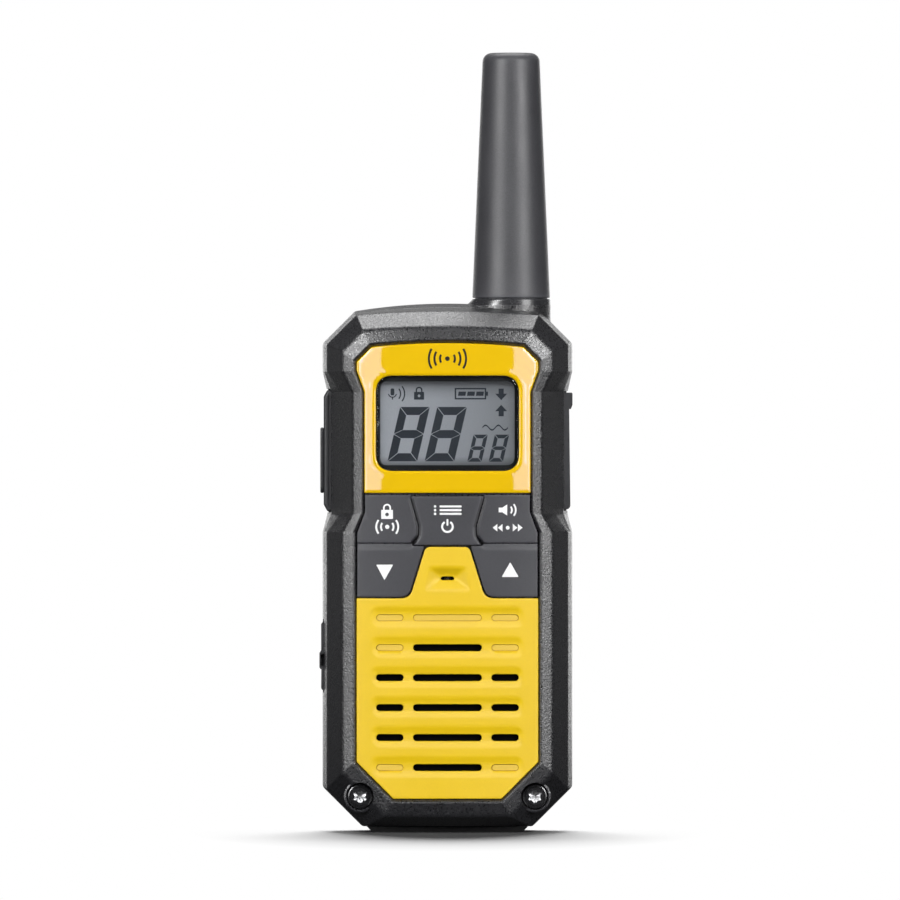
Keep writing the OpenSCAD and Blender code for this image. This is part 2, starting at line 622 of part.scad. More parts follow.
// Turn a profile of [radius, y] about the speaker's axis
module about_speaker(profile) translate([0, 0, speaker_z]) rotate([-90, 0, 0])
    rotate_extrude($fn = 96) polygon(profile);
module speaker_frame() color(steel) about_speaker([[17.6, ring_front], [speaker_d / 2, ring_front],
    [speaker_d / 2, ring_front + 1], [18.4, ring_front + 1], [11.4, -1.6], [11.4, -1.1], [4.2, -1.1], [4.2, -1.6],
    [10.6, -1.6], [17.6, ring_front + 1]]);
module speaker_cone() color("#3a3632") about_speaker([[17.5, ring_front], [17.5, ring_front + 0.3], [15.6, -6.2],
    [6.6, -4.2], [3.9, -4.0], [3.9, -2.2], [3.5, -2.2], [3.5, -4.4], [0, -5.2], [0, -5.5], [5, -4.7], [15.4, -6.7]]);
module speaker_magnet() color(steel) about_speaker([[0, -1.0], [9, -1.0], [9, 2.6], [8.6, 3.0], [0, 3.0]]);
module speaker_gasket() color("#222") intersection() {
    crown(mat_front_r);
    along_y(-12, ring_front) translate([0, speaker_z]) difference() {
        circle(speaker_d / 2);
        circle(18.1);
    }
}
module speaker_mesh() color("#111") crowned_sheet(panel_back_r - 0.1, panel_back_r - 0.35)
    translate([0, speaker_z]) circle(speaker_open_r - 0.1);

// ---- Battery ----
cell_pitch = cell_d + 0.2;
cell_bottom = 7.6;
cell_count = 4;
nub_h = 1;
function cell_x(i) = (i - (cell_count - 1) / 2) * cell_pitch;
// Put the children at cell i, with the nub up on even cells and down on odd ones
module at_cell(i) translate([cell_x(i), cell_y, i % 2 == 0 ? cell_bottom : cell_bottom + cell_l])
    mirror([0, 0, i % 2]) children();
module battery_cells() color("#2c6e8f") for (i = [0 : cell_count - 1]) at_cell(i) {
    cylinder(r = cell_d / 2, h = cell_l - nub_h);
    cylinder(r = 1.9, h = cell_l);
}
plate_half = 2.9;
plate_t = 0.3;
spring_turns = 3;
spring_wire_r = 0.28;
module contact_plate(z) translate([-plate_half, -plate_half, z]) cube([2 * plate_half, 2 * plate_half, plate_t]);
// Conical spring: a plate, its rings from the widest to the narrowest, and the wire that joins them
module contact_springs() color(steel) for (i = [0 : cell_count - 1]) {
    gap = i % 2 == 0 ? cell_bottom - bay_bottom : bay_top - cell_bottom - cell_l;
    rise = (gap - 0.85) / (spring_turns - 1);
    at_cell(i) {
        contact_plate(-gap);
        for (k = [0 : spring_turns - 1]) translate([0, 0, -gap + 0.55 + k * rise])
            rotate_extrude() translate([3 - 0.45 * k, 0]) circle(spring_wire_r, $fn = 16);
        translate([1.9, -0.25, -gap + 0.1]) cube([1.3, 0.5, gap - 0.25]);
    }
}
module contact_plates() color(steel) for (i = [0 : cell_count - 1]) {
    gap = i % 2 == 0 ? bay_top - cell_bottom - cell_l : cell_bottom - bay_bottom;
    at_cell(i) translate([0, 0, cell_l]) {
        cylinder(r = 2.4, h = gap - 0.2);
        contact_plate(gap - plate_t);
    }
}

// ---- Belt clip ----
bracket_y = [rear_depth, rear_depth + 2];
pivot_y = rear_depth + 4.6;
arm_y = [rear_depth + 7.6, rear_depth + 9.6];
ear_r = 1.9;
bracket_half = 8.4;
arm_ear = [3.9, 6.1];
pin_gap = 0.05;
clip_bottom = 59;
clip_top = 115;
module clip_bracket() color(charcoal) difference() {
    union() {
        box(-bracket_half, bracket_half, bracket_y[0], bracket_y[1], 98, 114);
        both_sides() along_x(bracket_half - 2, bracket_half) {
            polygon([[bracket_y[0], 100], [bracket_y[0], 112], [pivot_y, clip_pivot_z + ear_r],
                [pivot_y, clip_pivot_z - ear_r]]);
            translate([pivot_y, clip_pivot_z]) circle(ear_r);
        }
    }
    rod_x(pivot_y, clip_pivot_z, pin_r, -9, 9);
    rod_y(0, clip_screw_z, 1.4, bracket_y[0] - 1, bracket_y[1] + 1);
}
module belt_clip() color(charcoal) difference() {
    union() {
        along_x(-clip_w / 2, clip_w / 2) polygon([[arm_y[0], clip_bottom + 3], [arm_y[0], clip_top],
            [arm_y[1], clip_top - 1], [arm_y[1], clip_bottom + 2], [arm_y[1] - 1.6, clip_bottom],
            [rear_depth + 1.6, clip_bottom], [rear_depth + 0.4, clip_bottom + 1.2],
            [rear_depth + 1.6, clip_bottom + 2.4], [arm_y[0] - 1.2, clip_bottom + 2.4]]);
        both_sides() along_x(arm_ear[0], arm_ear[1]) {
            polygon([[arm_y[0] + 0.5, clip_pivot_z - 5], [arm_y[0] + 0.5, clip_pivot_z + 5],
                [pivot_y, clip_pivot_z + ear_r], [pivot_y, clip_pivot_z - ear_r]]);
            translate([pivot_y, clip_pivot_z]) circle(ear_r);
        }
    }
    rod_x(pivot_y, clip_pivot_z, pin_r + pin_gap, -9, 9);
}
module clip_pin() color(steel) rod_x(pivot_y, clip_pivot_z, pin_r, -bracket_half, bracket_half);

// Torsion spring round the pin: its closed coils are a tube, and its two legs are straight
spring_half = 3.6;
spring_in_r = 1.3;
spring_out_r = 1.9;
leg_l = 6;
module clip_spring() color(steel) {
    difference() {
        rod_x(pivot_y, clip_pivot_z, spring_out_r, -spring_half, spring_half);
        rod_x(pivot_y, clip_pivot_z, spring_in_r, -spring_half - 1, spring_half + 1);
    }
    for (side = [-1, 1]) translate([side * (spring_half - 0.3), pivot_y + side * 1.6, clip_pivot_z - leg_l])
        translate([-0.3, -0.3, 0]) cube([0.6, 0.6, leg_l]);
}

front_case();
rear_case();
battery_door();
display_surround();
grille_panel();
display_lens();
case_seal();
front_screws();
rear_screws();
board_screws();
clip_screw();
call_key();
menu_key();
scan_key();
down_key();
up_key();
keypad_mat();
key_switches();
ptt_button();
ptt_pad();
ptt_switch();
jack_cover();
speaker_jack();
mic_jack();
usb_cover();
usb_socket();
antenna_sleeve();
antenna_coil();
antenna_core();
antenna_base();
antenna_nut();
lcd_glass();
lcd_backlight();
lcd_frame();
lcd_connector();
main_board();
board_components();
rf_shield();
microphone();
mic_boot();
speaker_frame();
speaker_cone();
speaker_magnet();
speaker_gasket();
speaker_mesh();
battery_cells();
contact_springs();
contact_plates();
clip_bracket();
belt_clip();
clip_pin();
clip_spring();
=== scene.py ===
"""Looks of a handheld two way radio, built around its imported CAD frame.

Shapes are worked out in millimetres in the row frame (+X right, +Y back, +Z up) and
turned into metres when a piece is put on its body.
"""

import math

import bmesh
import bpy
import numpy as np
from mathutils import Matrix, Vector
from mathutils.geometry import delaunay_2d_cdt


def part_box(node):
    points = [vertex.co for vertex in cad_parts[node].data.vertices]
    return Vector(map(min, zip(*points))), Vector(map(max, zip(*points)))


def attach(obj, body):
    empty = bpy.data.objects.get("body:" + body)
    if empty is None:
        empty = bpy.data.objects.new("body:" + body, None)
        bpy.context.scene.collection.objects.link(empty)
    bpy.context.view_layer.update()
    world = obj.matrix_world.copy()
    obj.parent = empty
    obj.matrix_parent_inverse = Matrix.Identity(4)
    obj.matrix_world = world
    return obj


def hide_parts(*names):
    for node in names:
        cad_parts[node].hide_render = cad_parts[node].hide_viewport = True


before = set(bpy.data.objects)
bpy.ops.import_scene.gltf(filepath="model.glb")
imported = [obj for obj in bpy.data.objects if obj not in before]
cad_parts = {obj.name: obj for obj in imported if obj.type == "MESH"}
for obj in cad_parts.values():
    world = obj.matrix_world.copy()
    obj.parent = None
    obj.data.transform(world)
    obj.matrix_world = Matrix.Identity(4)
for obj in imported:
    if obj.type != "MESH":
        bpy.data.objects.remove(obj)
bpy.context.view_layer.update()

MM = 1000.0


def span(node):
    """Lowest and highest corner of a CAD node, in millimetres."""
    low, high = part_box(node)
    return low * MM, high * MM


def middle(node):
    """Middle of a CAD node's box, in millimetres."""
    low, high = span(node)
    return (low + high) / 2


# ---------------------------------------------------------------- driving sizes

body_half, rear_depth, _ = span("rear_case")[1]
front_depth = -span("front_case")[0].y
body_top = span("front_case")[1].z + 1.0
door_top = span("battery_door")[1].z
sleeve_low, sleeve_high = span("antenna_sleeve")
antenna_x, antenna_y, _ = middle("antenna_sleeve")
antenna_base_r = (sleeve_high.x - sleeve_low.x) / 2
lens_low, lens_high = span("display_lens")
window_w = lens_high.x - lens_low.x + 0.2
window_h = lens_high.z - lens_low.z + 0.2
window_z = middle("display_lens").z
speaker_z = middle("speaker_frame").z
screw_low, screw_high = span("front_screws")
screw_head_r = (screw_high.z - screw_low.z) / 2
front_screw = (screw_high.x - screw_head_r, middle("front_screws").z)
rear_screw = (span("rear_screws")[1].x - screw_head_r, middle("rear_screws").z)
clip_screw_z = middle("clip_screw").z
pin_y, pin_z = middle("clip_pin").yz
jack_z = [middle(node).z for node in ("speaker_jack", "mic_jack")]

CROWN_R = 110.0
PANEL_Y = 0.6 - front_depth
CROWN_AXIS_Y = CROWN_R + PANEL_Y
PANEL_BACK_R = CROWN_R - 1.8
FLOOR_FRONT_R = CROWN_R - 1.85
FLOOR_BACK_R = CROWN_R - 3.1
WAIST_Z = (70.4, 74.7, 103.3, 108.2)
WALL = 1.8
COLLAR_TOP = sleeve_low.z - 0.25
COLLAR_R = 9.3
WINDOW_CORNER = 4.0
SCREW_HOLE_R = 1.45
JACK_Y = 4.9
JACK_POCKET_X = 26.75
USB_POCKET_X = 27.95
EAR_R = 1.9
FAR = 90


# ---------------------------------------------------------------- outlines

def outline_at(side, waist, drop, rise, top_corner, bottom, bottom_corner):
    """[half width, waist half width, top, top rise, top corner, bottom, bottom corner]"""
    return np.array([body_half - side, body_half - waist, body_top - drop, rise, top_corner, bottom,
                     bottom_corner])


def inset(outline, d):
    corner = d * (2 - math.sqrt(2))
    return outline + np.array([-d, -d, -d, 0, -corner, d, -corner])


REAR_RIM = outline_at(0, 1.1, 0, 1.8, 7.6, 1.2, 9.3)
REAR_SHOULDER = outline_at(0.7, 1.7, 0.6, 1.8, 7.6, 1.6, 9.3)
REAR_EDGE = outline_at(2.2, 3.0, 2.4, 1.8, 7.2, 3.2, 9.0)
REAR_FACE = outline_at(4.5, 5.1, 4.8, 1.8, 6.6, 5.6, 8.6)
PARTING = outline_at(0.4, 2.2, 1.0, 1.4, 7.3, 1.3, 9.0)
FRONT_EDGE = outline_at(1.05, 4.2, 1.9, 0.9, 7.0, 1.4, 8.7)
RIDGE_OUTER = outline_at(4.6, 7.1, 5.6, 0.8, 4.9, 3.8, 10.3)
RIDGE_CREST = outline_at(7.35, 9.2, 8.7, 0.9, 3.9, 7.2, 9.0)
PANEL_OPENING = outline_at(7.95, 9.75, 9.3, 0.9, 3.6, 7.85, 8.7)
FRONT_CAVITY = outline_at(5.8, 8.2, 8.0, 0.9, 4.5, 6.2, 10.5)
RIM_CAVITY = outline_at(2.5, 6.1, 3.6, 0.9, 5.0, 3.2, 9.5)


def fillet(path, corners, radius, steps=4):
    """The path with the named corners rounded; each corner becomes steps + 1 points."""
    result = []
    count = len(path)
    for i, point in enumerate(path):
        if i not in corners:
            result.append(tuple(point))
            continue
        here = np.array(point, float)
        before = np.array(path[i - 1], float) - here
        after = np.array(path[(i + 1) % count], float) - here
        cosine = before @ after / np.linalg.norm(before) / np.linalg.norm(after)
        turn = math.pi - math.acos(max(-1.0, min(1.0, cosine)))
        r = radius[i] if isinstance(radius, dict) else radius
        trim = min(r * math.tan(turn / 2), 0.45 * np.linalg.norm(before), 0.45 * np.linalg.norm(after))
        start = here + before / np.linalg.norm(before) * trim
        end = here + after / np.linalg.norm(after) * trim
        for k in range(steps + 1):
            t = k / steps
            result.append(tuple((1 - t) ** 2 * start + 2 * t * (1 - t) * here + t * t * end))
    return result


def half_outline(outline, radius):
    """Right half of an outline, from the middle of the foot up to the middle of the top."""
    half, waist, top, rise, top_corner, bottom, bottom_corner = outline
    foot = [((half - bottom_corner) * i / 4, bottom) for i in range(4)]
    corners = [(half - bottom_corner, bottom), (half, bottom + bottom_corner), (half, WAIST_Z[0]),
               (waist, WAIST_Z[1]), (waist, WAIST_Z[2]), (half, WAIST_Z[3]),
               (half, top - rise - top_corner), (half - top_corner, top - rise)]
    arch = [((half - top_corner) * t, top - rise * t * t) for t in np.linspace(0.9, 0, 10)]
    path = foot + corners + arch
    return fillet(path, range(len(foot), len(foot) + len(corners)), radius)


def closed_outline(outline, radius=0.8):
    half = half_outline(outline, radius)
    return half + [(-x, z) for x, z in half[-2:0:-1]]


# ---------------------------------------------------------------- mesh tools

def in_scene(name, data):
    made = bpy.data.objects.new(name, data)
    bpy.context.scene.collection.objects.link(made)
    return made


def new_object(name, points, faces):
    mesh = bpy.data.meshes.new(name)
    mesh.from_pydata([tuple(map(float, p)) for p in points], [], faces)
    work = bmesh.new()
    work.from_mesh(mesh)
    bmesh.ops.remove_doubles(work, verts=work.verts, dist=1e-4)
    bmesh.ops.recalc_face_normals(work, faces=work.faces)
    work.to_mesh(mesh)
    work.free()
    return in_scene(name, mesh)


def bake(obj):
    """Replaces an object's mesh by what its modifiers make of it."""
    graph = bpy.context.evaluated_depsgraph_get()
    mesh = bpy.data.meshes.new_from_object(obj.evaluated_get(graph))
    old = obj.data
    obj.modifiers.clear()
    obj.data = mesh
    bpy.data.meshes.remove(old)
    return obj


def merge(parts):
    """One object from several that don't overlap."""
    work = bmesh.new()
    for part in parts:
        work.from_mesh(part.data)
    mesh = parts[0].data
    work.to_mesh(mesh)
    work.free()
    for part in parts[1:]:
        bpy.data.objects.remove(part)
    return parts[0]


def combine(target, tool, operation):
    modifier = target.modifiers.new("combine", "BOOLEAN")
    modifier.operation = operation
    modifier.solver = "EXACT"
    modifier.object = tool
    bake(target)
    bpy.data.objects.remove(tool)
    return target


def cut(target, *tools):
    return combine(target, merge(list(tools)), "DIFFERENCE")


def add(target, *tools):
    return combine(target, merge(list(tools)), "UNION")


def both(make):
    """The left and right one of a mirrored pair; make is given the side, -1 or 1."""
    return [make(side) for side in (-1, 1)]


def round_edges(obj, width, segments=3, angle=30):
    modifier = obj.modifiers.new("round", "BEVEL")
    modifier.width = width
    modifier.segments = segments
    modifier.limit_method = "ANGLE"
    modifier.angle_limit = math.radians(angle)
    return bake(obj)


def ring_faces(rows, count, closed):
    """Quads between neighbouring rings of count points each."""
    faces = []
    for k in range(rows if closed else rows - 1):
        for i in range(count):
            j = (i + 1) % count
            nxt = (k + 1) % rows
            faces.append((k * count + i, k * count + j, nxt * count + j, nxt * count + i))
    return faces


def loft(name, rings, closed=False):
    """Skin through rings of points; an open skin gets flat ends, a closed one runs back to its start."""
    count = len(rings[0])
    faces = ring_faces(len(rings), count, closed)
    if not closed:
        faces.append(tuple(range(count)))
        faces.append(tuple(range((len(rings) - 1) * count, len(rings) * count)))
    return new_object(name, [p for ring in rings for p in ring], faces)


def soften(sections, sizes, steps=4):
    """Sections [y, crown share, outline...] with the crease at each one rounded over its size."""
    rows = [np.concatenate(([y, share], outline)) for y, share, outline in sections]
    result = []
    for i, row in enumerate(rows):
        if sizes[i] == 0:
            result.append(row)
            continue
        before, after = rows[i - 1] - row, rows[(i + 1) % len(rows)] - row
        start, end = (row + d * min(0.45, sizes[i] / math.hypot(d[0], d[2])) for d in (before, after))
        for k in range(steps + 1):
            t = k / steps
            result.append((1 - t) ** 2 * start + 2 * t * (1 - t) * row + t * t * end)
    return result


def section_ring(row, radius):
    """Ring of one section, its corners rounded, bent by its share of the crown."""
    y, share, outline = row[0], row[1], row[2:]
    return [(x, y + share * crown_drop(x), z) for x, z in closed_outline(outline, radius)]


def crown_drop(x):
    return CROWN_R - np.sqrt(CROWN_R * CROWN_R - x * x)


def crown(radius):
    """Depth of the crowned surface of that radius, as a function of (x, z)."""
    return lambda x, z: CROWN_AXIS_Y - np.sqrt(radius * radius - x * x)


def flat(y):
    return lambda x, z: np.full_like(x, y)


def prism_y(name, polygon, y0, y1):
    return loft(name, [[(x, y, z) for x, z in polygon] for y in (y0, y1)])


def prism_x(name, polygon, x0, x1):
    return loft(name, [[(x, y, z) for y, z in polygon] for x in (x0, x1)])


def block(name, x0, x1, y0, y1, z0, z1):
    return prism_y(name, [(x0, z0), (x1, z0), (x1, z1), (x0, z1)], y0, y1)


def turned(name, profile, place, axis, steps=64):
    """Solid of revolution: profile of (radius, height) from the axis and back to it."""
    direction = Vector(axis)
    across = direction.orthogonal().normalized()
    other = direction.cross(across)
    points, faces, rows = [], [], []
    for radius, height in profile:
        centre = Vector(place) + direction * height
        if radius < 1e-6:
            rows.append([len(points)] * steps)
            points.append(centre)
            continue
        rows.append(list(range(len(points), len(points) + steps)))
        for i in range(steps):
            a = 2 * math.pi * i / steps
            points.append(centre + (across * math.cos(a) + other * math.sin(a)) * radius)
    for low, high in zip(rows, rows[1:]):
        for i in range(steps):
            j = (i + 1) % steps
            corners = list(dict.fromkeys((low[i], low[j], high[j], high[i])))
            if len(corners) > 2:
                faces.append(corners)
    return new_object(name, points, faces)


def rod(name, place, axis, radius, length, steps=48):
    return turned(name, [(0, 0), (radius, 0), (radius, length), (0, length)], place, axis, steps)


def rod_y(name, x, z, radius, y0, y1):
    return rod(name, (x, y0, z), (0, 1, 0), radius, y1 - y0)


def rod_x(name, y, z, radius, x0, x1):
    return rod(name, (x0, y, z), (1, 0, 0), radius, x1 - x0)


# ---------------------------------------------------------------- flat shapes

def arc(x, z, r, start, end, steps):
    """Points along a circle, its angles in degrees from +X."""
    return [(x + r * math.cos(a), z + r * math.sin(a)) for a in np.radians(np.linspace(start, end, steps))]


def disc(x, z, r, steps=40):
    return arc(x, z, r, 0, 360 - 360 / steps, steps)


def rectangle(x0, x1, z0, z1, r=0.0, steps=6):
    corners = [(x0, z0), (x1, z0), (x1, z1), (x0, z1)]
    return fillet(corners, range(4), r, steps) if r else corners


def pill(x, z, width, height, steps=10):
    """Rectangle with half circles as its shorter ends."""
    r = min(width, height) / 2
    reach_x, reach_z = width / 2 - r, height / 2 - r
    first = 0.0 if reach_z > reach_x else -90.0
    return (arc(x + reach_x, z + reach_z, r, first, first + 180, steps)
            + arc(x - reach_x, z - reach_z, r, first + 180, first + 360, steps))


def band(x, z, r_in, r_out, start, end, steps=24):
    """Part of a ring, its angles in degrees from +X."""
    return arc(x, z, r_out, start, end, steps) + arc(x, z, r_in, end, start, steps)


def moved(polygon, dx=0.0, dz=0.0, slant=0.0):
    return [(x + dx + slant * z, z + dz) for x, z in polygon]


def mirrored(polygon):
    return [(-x, z) for x, z in polygon[::-1]]


def resampled(loop, longest):
    result = []
    for a, b in zip(loop, loop[1:] + loop[:1]):
        parts = max(1, math.ceil(math.dist(a, b) / longest))
        result += [(a[0] + (b[0] - a[0]) * k / parts, a[1] + (b[1] - a[1]) * k / parts) for k in range(parts)]
    return result


def segments_of(loops):
    starts = np.array([p for loop in loops for p in loop])
    ends = np.array([p for loop in loops for p in loop[1:] + loop[:1]])
    return starts, ends


def edge_distance(points, loops):
    """Distance of each point to the nearest edge of the loops."""
    starts, ends = segments_of(loops)
    along = ends - starts
    length = np.maximum((along ** 2).sum(1), 1e-12)
    nearest = np.full(len(points), np.inf)
    for chunk in np.array_split(np.arange(len(points)), max(1, len(points) // 2000)):
        away = points[chunk, None] - starts[None]
        t = np.clip((away * along).sum(2) / length, 0, 1)
        nearest[chunk] = np.sqrt(((away - t[..., None] * along) ** 2).sum(2)).min(1)
    return nearest


def inside(points, loop):
    x, z = points[:, 0, None], points[:, 1, None]
    starts, ends = segments_of([loop])
    crosses = (starts[:, 1] > z) != (ends[:, 1] > z)
    rise = np.where(ends[:, 1] == starts[:, 1], 1e-12, ends[:, 1] - starts[:, 1])
    left = x < starts[:, 0] + (z - starts[:, 1]) * (ends[:, 0] - starts[:, 0]) / rise
    return (crosses & left).sum(1) % 2 == 1


def offset_points(loop, distance):
    """Points that lie that far from a loop's corners, on both sides of it."""
    path = np.array(loop)
    tangent = np.roll(path, -1, 0) - np.roll(path, 1, 0)
    normal = np.stack([tangent[:, 1], -tangent[:, 0]], 1) / np.linalg.norm(tangent, axis=1)[:, None]
    return np.concatenate([path + normal * distance, path - normal * distance])


def sheet(name, border, front, back, holes=(), lines=(), spacing=1.2, soft=0.0):
    """Solid plate between two depth functions, with its front edges rounded over soft.
    Lines are extra loops that the mesh follows, for creases inside the plate."""
    longest = spacing * 0.8
    rims = [resampled(loop, longest) for loop in (border, *holes)]
    creases = [resampled(loop, longest) for loop in lines]
    points, edges = [], []
    for loop in rims + creases:
        first = len(points)
        points += loop
        edges += [(first + i, first + (i + 1) % len(loop)) for i in range(len(loop))]
    extra = []
    for share in (0.12, 0.35, 0.65, 1.0) if soft else ():
        near = np.concatenate([offset_points(loop, share * soft) for loop in rims])
        extra.append(near[edge_distance(near, rims) > 0.93 * share * soft])
    low, high = np.array(border).min(0), np.array(border).max(0)
    columns, rows = (np.arange(low[k] + spacing / 2, high[k], spacing) for k in (0, 1))
    grid = np.stack(np.meshgrid(columns, rows), -1).reshape(-1, 2)
    clear = max(soft * 1.25, spacing * 0.4)
    if len(grid):
        extra.append(grid[edge_distance(grid, rims + creases) > clear])
    for cloud in extra:
        keep = inside(cloud, rims[0])
        for hole in rims[1:]:
            keep &= ~inside(cloud, hole)
        points += [tuple(p) for p in cloud[keep]]
    made = delaunay_2d_cdt([Vector(p) for p in points], edges, [], 0, 1e-6)
    flat_points = np.array([tuple(p) for p in made[0]])
    faces = [tuple(f) for f in made[2]]
    centres = np.array([flat_points[list(f)].mean(0) for f in faces])
    keep = inside(centres, rims[0])
    for hole in rims[1:]:
        keep &= ~inside(centres, hole)
    faces = [f for f, k in zip(faces, keep) if k]
    x, z = flat_points[:, 0], flat_points[:, 1]
    depth = front(x, z)
    if soft:
        gap = np.clip(edge_distance(flat_points, rims), 0, soft)
        depth = depth + soft - np.sqrt(soft * soft - (soft - gap) ** 2)
    count = len(flat_points)
    solid = list(zip(x, depth, z)) + list(zip(x, back(x, z), z))
    uses = {}
    for f in faces:
        for a, b in zip(f, f[1:] + f[:1]):
            uses.setdefault(frozenset((a, b)), []).append((a, b))
    walls = [(b, a, a + count, b + count) for pair in uses.values() if len(pair) == 1 for a, b in pair]
    used = sorted({i for f in faces for i in f})
    index = {old: new for new, old in enumerate(used)}
    index.update({old + count: new + len(used) for new, old in enumerate(used)})
    backs = [tuple(i + count for i in f[::-1]) for f in faces]
    kept = [solid[i] for i in used] + [solid[i + count] for i in used]
    return new_object(name, kept, [tuple(index[i] for i in f) for f in faces + backs + walls])


# ---------------------------------------------------------------- materials

class Shader:
    """Nodes of a new material or world: put() adds a node, joins the sockets given and returns one output."""

    def __init__(self, name, kind="Material"):
        self.owner = bpy.data.worlds.new(name) if kind == "World" else bpy.data.materials.new(name)
        self.owner.use_nodes = True
        self.tree = self.owner.node_tree
        self.tree.nodes.clear()
        self.output = self.tree.nodes.new("ShaderNodeOutput" + kind)
        # Object coordinates in metres, or the direction in a world.
        self.place = self.put("TexCoord", output=0 if kind == "World" else 3)

    def put(self, kind, inputs=None, output=0, **settings):
        node = self.tree.nodes.new("ShaderNode" + kind)
        for key, value in settings.items():
            setattr(node, key, value)
        for key, value in (inputs or {}).items():
            if isinstance(value, bpy.types.NodeSocket):
                self.tree.links.new(value, node.inputs[key])
            else:
                node.inputs[key].default_value = value
        return node.outputs[output]

    def axis(self, number):
        return self.put("SeparateXYZ", {0: self.place}, number)

    def mapped(self, **change):
        return self.put("Mapping", {"Vector": self.place, **change})

    def times(self, a, b):
        return self.put("Math", {0: a, 1: b}, operation="MULTIPLY")

    def noise(self, place, scale, detail=2.0, rough=0.5):
        return self.put("TexNoise", {"Vector": place, "Scale": scale, "Detail": detail, "Roughness": rough})

    def spread(self, value, low, high, start=0.3, end=0.7):
        return self.put("MapRange", {"Value": value, "From Min": start, "From Max": end,
                                     "To Min": low, "To Max": high})

    def mix(self, factor, a, b, blend="MIX"):
        return self.put("Mix", {0: factor, 6: a, 7: b}, 2, data_type="RGBA", blend_type=blend)

    def close(self, surface):
        self.tree.links.new(surface, self.output.inputs["Surface"])
        return self.owner

    def principled(self, inputs):
        return self.close(self.put("BsdfPrincipled", inputs))


def rgba(text, gain=1.0):
    """Linear colour of a hex code."""
    parts = [int(text[i:i + 2], 16) / 255 for i in (1, 3, 5)]
    linear = [p / 12.92 if p < 0.04045 else ((p + 0.055) / 1.055) ** 2.4 for p in parts]
    return tuple(min(1.0, p * gain) for p in linear) + (1.0,)


def moulded(name, colour, rough, grain=0.22, height=0.02, vary=0.08, edge_highlight=0.0, metal=0.0, ior=1.5, coat=0.0,
            stretch=(1, 1, 1), fleck=0.25, glint=0.08):
    """Moulded, painted or machined surface. Grain is the size and height the depth of its texture in
    millimetres; vary is the colour's drift, the edge highlight the paler tint painted on its edges as a
    highlight, glint the share by which the grain changes the roughness."""
    s = Shader(name)
    place = s.mapped(Scale=stretch)
    fine = s.noise(place, MM / grain, 3.0, 0.6)
    broad = s.noise(place, 55.0, 4.0, 0.55)
    dark = s.spread(broad, 1 - vary, 1 + vary)
    specks = s.spread(fine, 1 - fleck, 1 + fleck)
    value = s.times(dark, specks)
    tint = s.mix(1.0, rgba(colour), s.put("CombineColor", {0: value, 1: value, 2: value}), "MULTIPLY")
    # Painted highlight: the most pointed places, the edges, get a paler tint.
    edge = s.spread(s.put("NewGeometry", output=7), 0.0, edge_highlight, 0.505, 0.56)
    tint = s.mix(edge, tint, rgba(colour, 2.6))
    shine = s.put("Math", {0: s.spread(broad, rough * 0.88, rough * 1.12),
                           1: s.spread(fine, -glint * rough, glint * rough)}, operation="ADD")
    bump = s.put("Bump", {"Height": fine, "Distance": height / MM, "Strength": 1.0})
    return s.principled({"Base Color": tint, "Roughness": shine, "Metallic": metal, "IOR": ior,
                         "Normal": bump, "Coat Weight": coat, "Coat Roughness": 0.03})


def window_shader():
    """Clear window: mostly see-through, with a thin reflection and faint wipe marks."""
    s = Shader("clear_window")
    marks = s.noise(s.mapped(Scale=(1, 1, 6)), 120.0, 4.0, 0.6)
    shine = s.put("BsdfGlossy", {"Color": (1, 1, 1, 1), "Roughness": s.spread(marks, 0.03, 0.09)})
    clear = s.put("BsdfTransparent", {"Color": (0.95, 0.96, 0.97, 1)})
    facing = s.put("Fresnel", {"IOR": 1.38})
    return s.close(s.put("MixShader", {0: facing, 1: clear, 2: shine}))


def lcd_shader():
    """Reflective grey display glass with a faint painted glow; painted shade makes it darker to the right and
    in the shade of the window's edges.
    """
    s = Shader("lcd")
    across, height = s.axis(0), s.axis(2)
    grain = s.noise(s.place, MM / 0.25, 2.0)
    shade = s.times(s.spread(height, 1.0, 0.62, 0.1015, 0.1055), s.spread(height, 0.4, 1.0, 0.0862, 0.0882))
    shade = s.times(shade, s.spread(across, 1.0, 0.5, -0.016, 0.0165))
    glow = s.mix(shade, rgba("#000000"), rgba("#a6a8ac"))
    tint = s.mix(s.spread(grain, 0.0, 0.16), glow, rgba("#5d6168"))
    # The emission is the painted glow, and it carries the painted shade with it.
    return s.principled({"Base Color": tint, "Roughness": s.spread(grain, 0.32, 0.45),
                         "Emission Color": tint, "Emission Strength": 0.22})


def board_shader():
    """Green board with darker traces and gold pads."""
    s = Shader("board_green")
    cells = s.put("TexVoronoi", {"Vector": s.place, "Scale": 420.0, "Randomness": 0.55}, distance="MANHATTAN")
    upright = s.mapped(Rotation=(math.pi / 2, 0, 0))
    trace = s.put("TexBrick", {"Vector": upright, "Color1": rgba("#1f6a42"), "Color2": rgba("#1a5937"),
                               "Mortar": rgba("#123f28"), "Scale": 260.0, "Mortar Size": 0.03})
    pads = s.spread(cells, 1.0, 0.0, 0.10, 0.14)
    tint = s.mix(pads, trace, rgba("#c8a24a"))
    bump = s.put("Bump", {"Height": s.times(pads, 0.5), "Distance": 0.00002})
    return s.principled({"Base Color": tint, "Roughness": s.spread(cells, 0.28, 0.42),
                         "Metallic": s.times(pads, 0.8), "Normal": bump})


def cell_shader():
    """Battery sleeve: a blue body and a copper top band, told apart by height on the cell."""
    s = Shader("cell_sleeve")
    top = s.spread(s.axis(2), 0.0, 1.0, 0.0388, 0.0390)
    fine = s.noise(s.mapped(Scale=(1, 1, 0.2)), MM / 0.3, 3.0)
    tint = s.mix(top, rgba("#24506e"), rgba("#a9763c"))
    tint = s.mix(s.spread(fine, 0.0, 0.25), tint, rgba("#101418"))
    bump = s.put("Bump", {"Height": fine, "Distance": 0.000006})
    return s.principled({"Base Color": tint, "Roughness": s.spread(fine, 0.25, 0.4), "Metallic": 0.45,
                         "Normal": bump})


